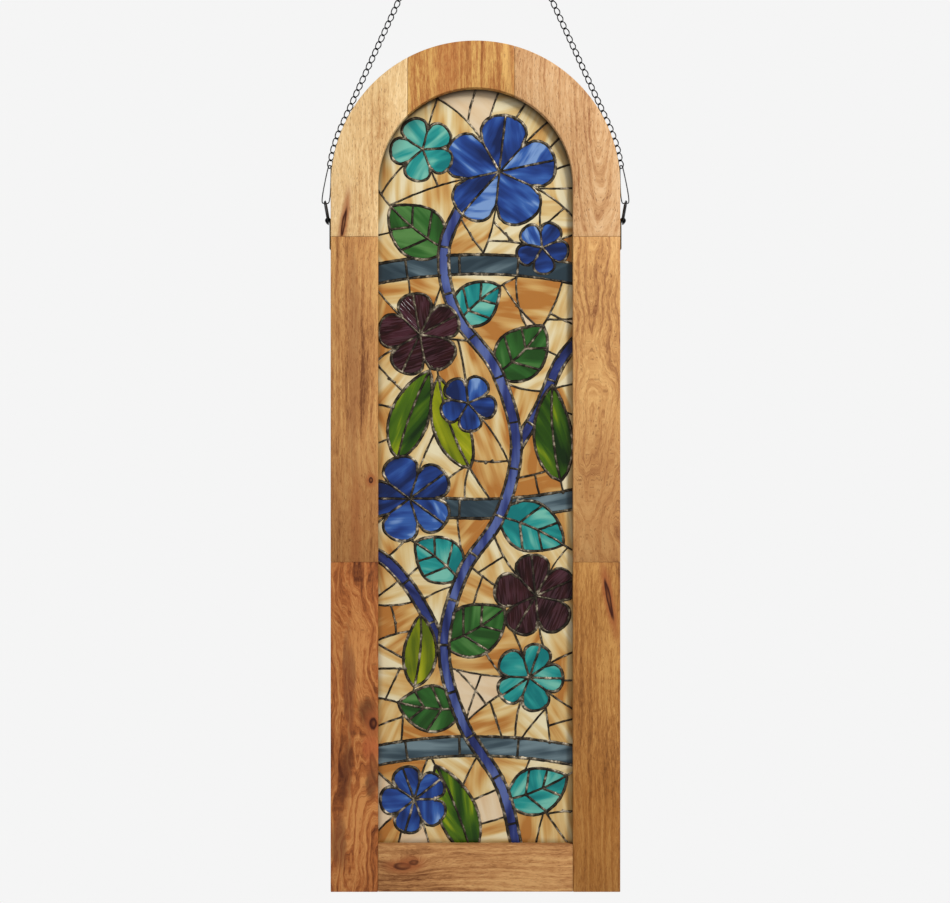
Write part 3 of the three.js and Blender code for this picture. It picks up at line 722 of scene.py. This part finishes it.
NO_VEINS = ()
PICTURE = [Motif(name, colour, *parts) for name, colour, parts in [
    ("band_lower", "slate", band(92, 12)),
    ("band_middle", "slate", band(372, -12)),
    ("band_upper", "slate", band(612, 12)),
    ("stem_left_low", "violet", stem((-34, 206), (-62, 262), (-92, 300), (-120, 318))),
    ("stem_right_high", "violet", stem((43, 424), (70, 470), (92, 520), (120, 552))),
    ("blade_low", "olive", leaf(-4, -14, 105, 40, 105, 14, NO_VEINS)),
    ("blade_lime_low", "lime", leaf(-66, 168, 78, 34, 76, 18, NO_VEINS)),
    ("blade_left_mid", "olive", leaf(-84, 414, 102, 40, 78, -16, NO_VEINS)),
    ("blade_lime_mid", "lime", leaf(-6, 404, 105, 36, 120, -22, NO_VEINS)),
    ("blade_right_mid", "olive", leaf(92, 390, 104, 40, 104, -18, NO_VEINS)),
    ("leaf_top_left", "green", leaf(-32, 640, 76, 54, 152, -20)),
    ("leaf_high_right", "green", leaf(22, 505, 74, 52, 34, 24)),
    ("leaf_teal_high", "teal", leaf(-20, 560, 62, 44, 52, -22)),
    ("leaf_teal_mid", "teal", leaf(26, 352, 76, 52, -14, -20)),
    ("leaf_mid_right", "green", leaf(-34, 215, 76, 54, 18, 24)),
    ("leaf_teal_left", "teal", leaf(-18, 284, 62, 48, 130, 20)),
    ("leaf_teal_low", "teal", leaf(34, 46, 70, 48, 12, 20)),
    ("leaf_low_left", "green", leaf(-16, 144, 68, 48, 184, -20)),
    ("stem_main", "violet", stem(
        (46, -12), (28, 60), (-14, 130), (-34, 210), (-14, 290), (26, 352), (44, 430), (22, 510),
        (-22, 572), (-34, 640), (-6, 705))),
    ("flower_top", "cobalt", flower(26, 724, 60, 84)),
    ("flower_plum_left", "plum", flower(-60, 548, 44, 100)),
    ("flower_right_high", "cobalt", flower(72, 642, 28, 60)),
    ("flower_teal_top", "teal", flower(-57, 748, 34, 40)),
    ("flower_plum_right", "plum", flower(65, 266, 44, 96)),
    ("flower_left_mid", "cobalt", flower(-71, 371, 46, 36)),
    ("flower_small_mid", "cobalt", flower(-8, 474, 30, 60)),
    ("flower_teal_right", "teal", flower(58, 178, 36, 70)),
    ("flower_low_left", "cobalt", flower(-66, 46, 36, 110)),
]]
SPRING_V = SPRING_Z - SILL_Z
STRIDE = 1.25
BEND_RUN = 60


def inside(points, outline):
    """Which points lie within an outline."""
    x, y = points[:, :1], points[:, 1:]
    x0, y0 = outline.T
    x1, y1 = np.roll(x0, 1), np.roll(y0, 1)
    crosses = (y0 > y) != (y1 > y)
    rise = np.where(y1 == y0, 1, y1 - y0)
    return (crosses & (x < x0 + (y - y0) * (x1 - x0) / rise)).sum(axis=1) % 2 == 1


def in_panel(points, grow=0.0):
    """Which points lie within the opening, or one that is larger by grow."""
    over_spring = np.maximum(0, points[:, 1] - SPRING_V)
    return (points[:, 1] >= -grow) & (np.hypot(points[:, 0], over_spring) <= INNER_RADIUS + grow)


def panel_outline(grow):
    reach = INNER_RADIUS + grow
    arc = [(reach * math.cos(a), SPRING_V + reach * math.sin(a)) for a in np.linspace(0, math.pi, 73)]
    return np.array([(-reach, -grow), (reach, -grow), *arc])


def closed_line(outline):
    """An outline that ends where it starts."""
    return np.vstack([outline, outline[:1]])


def resample(line, step=STRIDE):
    """A line with its points about a step apart."""
    line = np.asarray(line, float)
    distance = distances(line)
    count = max(2, round(distance[-1] / step) + 1)
    even = np.linspace(0, distance[-1], count)
    return np.stack([np.interp(even, distance, line[:, k]) for k in (0, 1)], axis=1)


def covering(points, level):
    """Which points a motif after the given place in the picture covers."""
    hidden = np.zeros(len(points), bool)
    for motif in PICTURE[level + 1:]:
        low, high = motif.outline.min(axis=0), motif.outline.max(axis=0)
        near = np.all((points >= low) & (points <= high), axis=1) & ~hidden
        if near.any():
            hidden[near] = inside(points[near], motif.outline)
    return hidden


def visible_runs(line, level):
    """The stretches of a line that show, each reaching just under what covers its end."""
    points = resample(line)
    hidden = covering(points, level) | ~in_panel(points, EDGE_REACH + STRIDE)
    keep = ~(hidden[:-1] & hidden[1:])
    changes = np.flatnonzero(np.diff(np.concatenate([[0], keep, [0]])))
    return [points[first:last + 1] for first, last in zip(changes[::2], changes[1::2])]


def near_lines(point, lines, distance):
    return any(np.min(np.hypot(*(line - point).T)) < distance for line in lines)


LONGEST_SEAM = 400


def march(start, heading, bend, lines):
    """A seam that runs over the ground until it meets a motif, another seam or the frame. Bend is how far
    it turns, in degrees, over a bend's run."""
    point = np.array(start, float)
    path = [point.copy()]
    for step in range(int(LONGEST_SEAM / STRIDE)):
        angle = heading + math.radians(bend) * step * STRIDE / BEND_RUN
        point = point + STRIDE * at_angle(angle)
        path.append(point.copy())
        if step < 2:
            continue
        here = point[None, :]
        if covering(here, -1)[0] or not in_panel(here, EDGE_REACH)[0] or near_lines(point, lines, STRIDE):
            break
    return np.array(path)


def ground_seams():
    """Seams in the ground that start at the motifs' seeds."""
    seams = []
    bends = [-26, 20, -12, 28, 10, -20]
    for motif in PICTURE:
        for at, heading, least in motif.seeds:
            first = np.array(at) + at_angle(heading, 2.5)
            if covering(first[None, :], -1)[0] or not in_panel(first[None, :])[0]:
                continue
            path = march(at, heading, bends[len(seams) % len(bends)], seams)
            if len(path) * STRIDE > least:
                seams.append(path)
    return seams


BORDER_STEP = 2.5
GRID_ACROSS = (-110, 111)
GRID_UP = (-5, 820)
CLEARANCE = 2.2
SMALLEST_CELL = 2


class Cells:
    """The panel cut along its lines into cells, each a set of triangles. With a spacing, a grid of points
    fills the cells wherever no line is near."""

    def __init__(self, lines, spacing=None):
        points, edges = [], []
        count = 0
        for line in lines:
            points.append(line)
            edges += [(count + i, count + i + 1) for i in range(len(line) - 1)]
            count += len(line)
        border = resample(closed_line(panel_outline(EDGE_REACH)), BORDER_STEP)
        points.append(border[:-1])
        edges += [(count + i, count + (i + 1) % (len(border) - 1)) for i in range(len(border) - 1)]
        if spacing:
            u, v = np.meshgrid(np.arange(*GRID_ACROSS, spacing), np.arange(*GRID_UP, spacing))
            shift = (np.arange(u.shape[0]) % 2)[:, None] * spacing / 2
            grid = np.stack([(u + shift).ravel(), v.ravel()], axis=1)
            taken = {tuple(key) for key in np.floor(np.vstack(lines) / CLEARANCE).astype(int)}
            free = [p for p in grid[in_panel(grid, EDGE_REACH - 1.5)]
                    if not any((math.floor(p[0] / CLEARANCE) + i, math.floor(p[1] / CLEARANCE) + j) in taken
                               for i in (-1, 0, 1) for j in (-1, 0, 1))]
            points.append(np.array(free))
        flat = [Vector(p) for p in np.vstack(points)]
        verts, links, faces, _, link_source, _ = geometry.delaunay_2d_cdt(flat, edges, [], 0, 1e-5)
        self.points = np.array([(p.x, p.y) for p in verts])
        self.faces = np.array(faces)
        walls = {tuple(sorted(link)) for link, source in zip(links, link_source) if source}
        self.group(walls)

    def group(self, walls):
        """Joins triangles that share an edge which no line follows."""
        by_edge = {}
        for index, (a, b, c) in enumerate(self.faces.tolist()):
            for edge in ((a, b), (b, c), (c, a)):
                key = (min(edge), max(edge))
                if key not in walls:
                    by_edge.setdefault(key, []).append(index)
        parent = list(range(len(self.faces)))

        def find(i):
            while parent[i] != i:
                parent[i] = parent[parent[i]]
                i = parent[i]
            return i

        for pair in by_edge.values():
            if len(pair) == 2:
                parent[find(pair[0])] = find(pair[1])
        corners = self.points[self.faces]
        self.middles = corners.mean(axis=1)
        sides = corners[:, 1:] - corners[:, :1]
        self.areas = np.abs(sides[:, 0, 0] * sides[:, 1, 1] - sides[:, 0, 1] * sides[:, 1, 0]) / 2
        within = in_panel(self.middles, EDGE_REACH)
        groups = {}
        for index in range(len(self.faces)):
            if within[index]:
                groups.setdefault(find(index), []).append(index)
        self.cells = []
        for members in groups.values():
            members = np.array(members)
            area = self.areas[members].sum()
            if area < SMALLEST_CELL:
                continue
            largest = members[np.argmax(self.areas[members])]
            self.cells.append((members, area, self.owner(self.middles[largest])))

    def owner(self, point):
        """The motif that shows at a point, as its place in the picture, or -1 for the ground."""
        for level in range(len(PICTURE) - 1, -1, -1):
            if inside(point[None, :], PICTURE[level].outline)[0]:
                return level
        return -1


def spread_of(points, weights):
    """The middle of a cell and the direction of its long side."""
    middle = np.average(points, axis=0, weights=weights)
    moved = points - middle
    return middle, np.linalg.eigh((moved * weights[:, None]).T @ moved)[1][:, 1]


LARGEST_AREAS = (3000, 2000, 1400, 1000)


def picture_lines():
    """All visible lines of the picture: outlines, seams within motifs and seams in the ground. Each round
    splits the cells of the ground that are larger than its largest area."""
    outlines, seams = [], []
    for level, motif in enumerate(PICTURE):
        outlines += visible_runs(closed_line(motif.outline), level)
        for seam in motif.seams:
            seams += visible_runs(seam, level)
    ground = ground_seams()
    chance = np.random.default_rng(11)
    for largest in LARGEST_AREAS:
        cells = Cells(outlines + seams + ground)
        for members, area, owner in cells.cells:
            if owner >= 0 or area < largest:
                continue
            middle, long_side = spread_of(cells.middles[members], cells.areas[members])
            heading = math.atan2(long_side[1], long_side[0]) + math.pi / 2 + chance.normal(0, 0.2)
            if not any(inside(middle[None, :], cells.points[cells.faces[m]])[0] for m in members):
                continue
            bend = chance.normal(0, 22)
            halves = [march(middle, heading, bend, ground), march(middle, heading + math.pi, -bend, ground)]
            ground.append(np.vstack([halves[0][::-1], halves[1][1:]]))
    return outlines, seams, ground


def to_panel(points, depth):
    """Points of the panel's own plane as points of the part, at a depth."""
    points = np.asarray(points)
    return np.stack([points[:, 0], np.broadcast_to(depth, len(points)), points[:, 1] + SILL_Z], axis=1)


TILE_TILT = 0.006
TILE_SHIFT = 0.35
TILE_WAVE = 0.12


def add_glass(cells, looks):
    """Each cell is a tile: a plate of its own, a little tilted and uneven, with its own streaks."""
    chance = np.random.default_rng(7)
    shapes = {}
    half = GLASS_THICKNESS / 2
    for members, area, owner in cells.cells:
        name = "ground" if owner < 0 else PICTURE[owner].name
        faces = cells.faces[members]
        used, index = np.unique(faces, return_inverse=True)
        index = index.reshape(-1, 3)
        flat = cells.points[used]
        middle, long_side = spread_of(cells.middles[members], cells.areas[members])
        tilt = chance.normal(0, TILE_TILT, 2)
        angle = math.atan2(long_side[1], long_side[0]) + chance.normal(0, 0.35)
        seed, tint = chance.uniform(0, 900), chance.uniform(0, 1)
        moved = flat - middle
        wave = np.array([noise.noise(Vector((p[0] / 16, p[1] / 16, seed))) for p in flat])
        offset = np.clip(moved @ tilt, -TILE_SHIFT, TILE_SHIFT) + TILE_WAVE * wave
        flow = np.stack([moved @ (math.cos(angle), math.sin(angle)),
                         moved @ (-math.sin(angle), math.cos(angle)), np.full(len(flat), seed)], axis=1)
        a, b, c = flat[index[:, 0]], flat[index[:, 1]], flat[index[:, 2]]
        turned = (b - a)[:, 0] * (c - a)[:, 1] - (b - a)[:, 1] * (c - a)[:, 0] < 0
        index[turned] = index[turned][:, ::-1]
        count = len(flat)
        edges = {}
        for triangle in index.tolist():
            for k in range(3):
                edges[(triangle[k], triangle[(k + 1) % 3])] = True
        rim = [(i, j) for i, j in edges if (j, i) not in edges]
        sides = [[i, i + count, j + count, j] for i, j in rim]
        faces = index.tolist() + [[c + count, b + count, a + count] for a, b, c in index.tolist()] + sides
        points = np.vstack([to_panel(flat, offset - half), to_panel(flat, offset + half)])
        shape = shapes.setdefault(name, Shape())
        shape.add(points, faces, flow=np.vstack([flow, flow]), tint=np.full((2 * count, 1), tint))
    colours = {motif.name: motif.colour for motif in PICTURE}
    for name, shape in shapes.items():
        nodes = [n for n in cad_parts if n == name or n.rstrip("0123456789") == name + "_"]
        colour = colours.get(name, "amber")
        slot = "glass_amber" if name == "ground" else "glass_" + colour
        piece("glass_" + name, shape, looks[colour], nodes, sharp=50)


BEAD_STEP = 2.4
BEAD_SWAY = 0.35
BEAD_SWELL = 0.2
BEAD_RISE = 0.07
BORDER_BEAD = 3.6


def bead(line, width, chance_at):
    """A solder bead along a line, uneven in width and not quite straight."""
    points = to_panel(resample(line, BEAD_STEP), 0.0)
    lumps = np.array([noise.noise(Vector((p[0] / 3.4, chance_at, p[2] / 3.4))) for p in points])
    sway = np.array([noise.noise(Vector((p[0] / 5, chance_at + 40, p[2] / 5))) for p in points])
    points = points + np.cross(directions(points), (0, 1, 0)) * sway[:, None] * BEAD_SWAY
    wide = width / 2 * (1 + BEAD_SWELL * lumps)
    deep = LINE_DEPTH / 2 * (1 + BEAD_RISE * lumps)
    return tube(points, (0, 1, 0), wide, deep, sides=10)


def add_solder(outlines, seams, ground):
    chance = np.random.default_rng(3)
    shape = Shape()
    groups = ((outlines, LINE_WIDTH), (seams, SEAM_WIDTH), (ground, GROUND_SEAM_WIDTH))
    for index, (lines, width) in enumerate(groups):
        for line in lines:
            if len(line) > 2:
                shape.add(*bead(line, width, 7.3 + 20 * index))
    for line in outlines + seams + ground:
        for end in (line[0], line[-1]):
            if len(line) > 2 and in_panel(end[None, :])[0]:
                size = chance.uniform(1.8, 2.6)
                radii = (size, LINE_DEPTH / 2 * chance.uniform(0.98, 1.06), size * chance.uniform(0.85, 1.1))
                shape.add(*ball((end[0], 0, end[1] + SILL_Z), radii))
    border = resample(closed_line(panel_outline(EDGE_REACH)), 6)[:-1]
    shape.add(*tube(to_panel(border, 0.0), (0, 1, 0), BORDER_BEAD / 2, LINE_DEPTH / 2, closed=True))
    piece("solder", shape, solder(), ["solder_lines"], sharp=70)


def add_panel():
    looks = {
        "amber": glass("glass_amber", [
            (0.02, (216, 203, 166)), (0.36, (204, 178, 124)), (0.66, (192, 151, 88)),
            (0.98, (166, 108, 48))], stretch=6, spread=0.36, blush=(208, 182, 152)),
        "slate": glass("glass_slate", [
            (0.1, (40, 54, 62)), (0.5, (60, 76, 84)), (0.9, (102, 120, 126))], stretch=6),
        "violet": glass("glass_violet", [
            (0.1, (24, 30, 72)), (0.55, (44, 54, 108)), (0.95, (82, 96, 148))], stretch=6,
            spread=0.28),
        "olive": glass("glass_olive", [
            (0.05, (16, 38, 6)), (0.45, (38, 70, 8)), (0.75, (72, 102, 12)),
            (0.98, (128, 142, 14))], stretch=7, spread=0.25),
        "lime": glass("glass_lime", [
            (0.05, (80, 94, 8)), (0.5, (128, 136, 10)), (0.95, (164, 162, 30))], stretch=7),
        "green": glass("glass_green", [
            (0.1, (30, 66, 22)), (0.5, (43, 91, 35)), (0.95, (80, 124, 64))], stretch=6),
        "teal": glass("glass_teal", [
            (0.1, (14, 108, 108)), (0.5, (36, 138, 132)), (0.95, (108, 175, 157))], stretch=4),
        "cobalt": glass("glass_cobalt", [
            (0.05, (18, 32, 74)), (0.48, (32, 60, 126)), (0.8, (52, 90, 156)),
            (1.0, (112, 142, 188))], stretch=4, spread=0.3),
        "plum": glass("glass_plum", [
            (0.1, (28, 6, 6)), (0.6, (44, 13, 12)), (0.95, (62, 28, 36))], stretch=3,
            ripple=0.9, spread=0.2),
    }
    outlines, seams, ground = picture_lines()
    cells = Cells(outlines + seams + ground, spacing=4.5)
    add_glass(cells, looks)
    add_solder(outlines, seams, ground)


# The chain and its fittings


CHAIN_RADIUS = OUTER_RADIUS + LINK_WIDTH / 2 + FIT_GAP
CHAIN_TOP_Z = LINK_WIDTH / 2
HUB_REACH = LINK_WIRE * 0.75
EYE_RADIUS = RING_WIRE / 2 + FIT_GAP
EYE_CENTRE_X = OUTER_RADIUS + EYE_RADIUS + STRAP_THICKNESS
EYE_CENTRE_Z = SPRING_Z - RING_BAR_DROP


def chain_path():
    """A side's chain: straight from the middle link down to the arch, then along its edge."""
    start = np.array([LINK_PITCH / 2, CHAIN_TOP_Z - SPRING_Z])
    distance = np.hypot(*start)
    touch = math.atan2(start[0], start[1]) + math.acos(CHAIN_RADIUS / distance)
    straight = math.sqrt(distance ** 2 - CHAIN_RADIUS ** 2)
    total = straight + CHAIN_RADIUS * (math.radians(CHAIN_END_ANGLE) - touch)

    def at(s):
        angle = touch + max(0, s - straight) / CHAIN_RADIUS
        end = CHAIN_RADIUS * np.array([math.sin(angle), math.cos(angle)])
        return end if s > straight else start + (end - start) * s / straight

    return at, total


LINK_TWIST = 50
LINK_FULLNESS = 0.8
CLIP_FULLNESS = 0.68


def link(first, last, side):
    """A curb link from one joint to the next: an oval of wire, twisted so that its ends lie across."""
    first, last = np.asarray(first, float), np.asarray(last, float)
    middle = (first + last) / 2
    along = last - first
    length = np.linalg.norm(along)
    along = along / length
    thickness = np.cross(along, side)
    thickness /= np.linalg.norm(thickness)
    side = np.cross(thickness, along)
    half_length = (length + LINK_WIRE * 0.9) / 2
    half_width = (LINK_WIDTH - LINK_WIRE) / 2
    oval = [(half_length * fuller(math.cos(angle), LINK_FULLNESS),
             half_width * fuller(math.sin(angle), LINK_FULLNESS), 0) for angle in turns(22)]
    points, faces = tube(oval, (0, 0, 1), LINK_WIRE / 2, LINK_WIRE / 2, closed=True)
    turn = np.radians(LINK_TWIST) * np.clip(points[:, 0] / half_length, -1, 1)
    across = points[:, 1] * np.cos(turn) - points[:, 2] * np.sin(turn)
    out = points[:, 1] * np.sin(turn) + points[:, 2] * np.cos(turn)
    placed = middle + points[:, :1] * along + across[:, None] * side + out[:, None] * thickness
    return placed, faces


def chain_joint(side, s, at):
    """The joint between two links at the distance s along a side's chain."""
    point = at(s)
    return np.array([side * point[0], 0, SPRING_Z + point[1]])


def add_chains(look):
    at, total = chain_path()
    start = 2 * HUB_REACH + FIT_GAP
    count = round((total - start) / LINK_PITCH)
    pitch = (total - start) / count
    for side, name in SIDES:
        shape = Shape()
        joints = [chain_joint(side, start + k * pitch, at) for k in range(count + 1)]
        for first, last in zip(joints, joints[1:]):
            along = last - first
            outward = np.array([-side * along[2], 0, side * along[0]])
            shape.add(*link(first, last, outward / np.linalg.norm(outward)))
        piece(f"chain_{name}_links", shape, look, [f"chain_{name}"], sharp=80)
    shape = Shape()
    ends = [(sign * LINK_PITCH / 2, 0, CHAIN_TOP_Z) for sign in (-1, 1)]
    shape.add(*link(*ends, (0, 0, 1)))
    piece("chain_middle_link", shape, look, ["middle_link"], sharp=80)


def ring_point(side, deep, up):
    """A point of the leaning ring, up from the middle of its bar."""
    lean = math.radians(RING_LEAN)
    return np.array([side * (EYE_CENTRE_X + up * math.sin(lean)), deep, EYE_CENTRE_Z + up * math.cos(lean)])


def add_ring(side, name, look):
    """A D ring: a half circle on top, and two rounded corners at the bar that the strap holds."""
    half = RING_WIDTH / 2 - RING_WIRE / 2
    height = RING_HEIGHT - RING_WIRE
    corner = 2.6
    points = []
    for k in range(25):
        angle = math.pi * k / 24
        points.append((half * math.cos(angle), height - half + half * math.sin(angle)))
    for sign in (-1, 1):
        for k in range(5):
            angle = math.radians(180 + 22.5 * k if sign < 0 else 270 + 22.5 * k)
            deep, up = at_angle(angle, corner)
            points.append((sign * (half - corner) + deep, corner + up))
    lean = math.radians(RING_LEAN)
    placed = [ring_point(side, deep, up) for deep, up in points]
    normal = np.array([math.cos(lean) * side, 0, -math.sin(lean)])
    shape = Shape()
    shape.add(*tube(placed, normal, RING_WIRE / 2, RING_WIRE / 2, sides=12, closed=True))
    piece(f"ring_{name}", shape, look, [f"d_ring_{name}"], sharp=60)


def add_clip(side, name, look):
    """A closed loop of wire from the chain's last link to the ring, narrow above and wide below."""
    at, total = chain_path()
    wire = CLIP_WIRE / 2
    top = chain_joint(side, total - 0.3 * LINK_PITCH, at)
    bottom = ring_point(side, 0, RING_HEIGHT - RING_WIRE * 1.5 - wire - FIT_GAP)
    bulge = (CLIP_WIDE - CLIP_NARROW) / 2
    bottom[0] -= side * bulge
    along = top - bottom
    length = np.linalg.norm(along)
    along = along / length
    across = side * np.cross((0, 1, 0), along)
    points = []
    for angle in turns(56):
        up = 0.5 - 0.5 * math.cos(angle)
        up = up * up * (3 - 2 * up)
        middle = bulge * (1 - up)
        half = CLIP_NARROW / 2 - wire + middle
        offset = middle + half * fuller(math.sin(angle), CLIP_FULLNESS)
        points.append(bottom + along * up * length + across * offset)
    shape = Shape()
    shape.add(*tube(points, (0, 1, 0), wire, wire, closed=True))
    piece(f"clip_{name}_wire", shape, look, [f"clip_{name}"], sharp=60)


def add_hanger(side, name, look, steel):
    """A strap screwed to the frame's edge and curled round the ring's bar, and its screw."""
    outer = EYE_RADIUS + STRAP_THICKNESS
    low = EYE_CENTRE_Z - STRAP_LENGTH
    mid = STRAP_THICKNESS / 2
    line = [(OUTER_RADIUS + mid, low + k * (EYE_CENTRE_Z - low) / 6) for k in range(6)]
    for k in range(25):
        angle = math.pi - 1.5 * math.pi * k / 24
        line.append((EYE_CENTRE_X + (outer - mid) * math.cos(angle),
                     EYE_CENTRE_Z + (outer - mid) * math.sin(angle)))
    shape = Shape()
    shape.add(*strap([(side * x, 0, z) for x, z in line]))
    piece(f"strap_{name}", shape, look, [f"hanger_{name}"], sharp=50)
    head = Shape()
    face = side * (OUTER_RADIUS + STRAP_THICKNESS)
    profile = [(0.2, -0.9), (1.1, -0.9), (1.4, 0.1), (SCREW_HEAD / 2, -0.1), (SCREW_HEAD / 2, -0.5),
               (1.3, -2.2), (1.3, -12), (0.1, -16)]
    sides = 20
    points = [(face + side * out, radius * math.cos(angle),
               EYE_CENTRE_Z - SCREW_DROP + radius * math.sin(angle))
              for radius, out in profile for angle in turns(sides)]
    head.add(points, ring_faces(len(profile), sides, False))
    piece(f"screw_{name}", head, steel, [f"hanger_screw_{name}"], sharp=50)


def strap(line):
    """A flat strap of metal along a line in the plane of the window, with eased edges."""
    line = np.asarray(line, float)
    across = np.cross(directions(line), (0, 1, 0))
    half, deep, ease = STRAP_THICKNESS / 2, STRAP_WIDTH / 2, 0.3
    section = [(-half, -deep + ease), (-half + ease, -deep), (half - ease, -deep), (half, -deep + ease),
               (half, deep - ease), (half - ease, deep), (-half + ease, deep), (-half, deep - ease)]
    points = [line[i] + across[i] * w + np.array([0, d, 0]) for i in range(len(line)) for w, d in section]
    return points, ring_faces(len(line), len(section), False)


def add_hardware():
    black = metal("metal_black", (14, 14, 15), (44, 44, 46), 0.42)
    ring = metal("metal_ring", (20, 20, 22), (70, 70, 72), 0.35)
    steel = metal("metal_steel", (96, 98, 100), (160, 162, 164), 0.32)
    wire = metal("metal_wire", (34, 34, 36), (92, 94, 96), 0.36)
    add_chains(black)
    for side, name in SIDES:
        add_ring(side, name, ring)
        add_clip(side, name, wire)
        add_hanger(side, name, black, steel)


# The stage: a pale floor far below, and soft light from in front and from behind


FLOOR_DROP = 1100
FLOOR_RADIUS = 2400


def area_light(name, place, target, size, power):
    """A square light that faces the target. Its place, target and size are in metres."""
    data = bpy.data.lights.new(name, "AREA")
    data.shape = "RECTANGLE"
    data.size = data.size_y = size
    data.energy = power
    light = bpy.data.objects.new(name, data)
    bpy.context.scene.collection.objects.link(light)
    light.location = place
    aim = Vector(target) - Vector(place)
    light.rotation_euler = aim.to_track_quat("-Z", "Y").to_euler()


def add_stage():
    middle = (BOTTOM_Z + FRAME_HEIGHT / 2) * MM
    shape = Shape()
    sides = 64
    rim = [(FLOOR_RADIUS * math.cos(angle), FLOOR_RADIUS * math.sin(angle), BOTTOM_Z - FLOOR_DROP)
           for angle in turns(sides)]
    shape.add(rim, [list(range(sides))])
    look = Look("floor", roughness=0.8)
    look.paint(look.ramp(look.blots(240, detail=3), [(0.3, (228, 228, 227)), (0.7, (234, 234, 233))]))
    shape.object("floor", look.material)
    # The studio is bright all round at the window's height, and grey above and below.
    world = bpy.data.worlds.new("studio")
    world.use_nodes = True
    bpy.context.scene.world = world
    nodes, links = world.node_tree.nodes, world.node_tree.links
    coordinates = nodes.new("ShaderNodeTexCoord")
    split = nodes.new("ShaderNodeSeparateXYZ")
    height = nodes.new("ShaderNodeMath")
    height.operation = "ABSOLUTE"
    ramp = nodes.new("ShaderNodeValToRGB")
    ramp.color_ramp.interpolation = "EASE"
    set_stops(ramp.color_ramp.elements, [(0.31, (245, 245, 245)), (0.44, (92, 92, 95))])
    links.new(coordinates.outputs["Generated"], split.inputs[0])
    links.new(split.outputs["Z"], height.inputs[0])
    links.new(height.outputs[0], ramp.inputs[0])
    links.new(ramp.outputs[0], nodes["Background"].inputs["Color"])
    area_light("key", (1.3, -1.7, 1.1), (0, 0, middle), 0.5, 62)
    area_light("fill", (-1.8, -2.4, 0.3), (0, 0, middle), 1.6, 4)
    area_light("back", (-1.2, 2.2, 0.9), (0, 0, middle), 1.4, 36)
    bpy.context.scene.view_settings.view_transform = "Standard"


add_boards()
add_panel()
add_hardware()
add_stage()
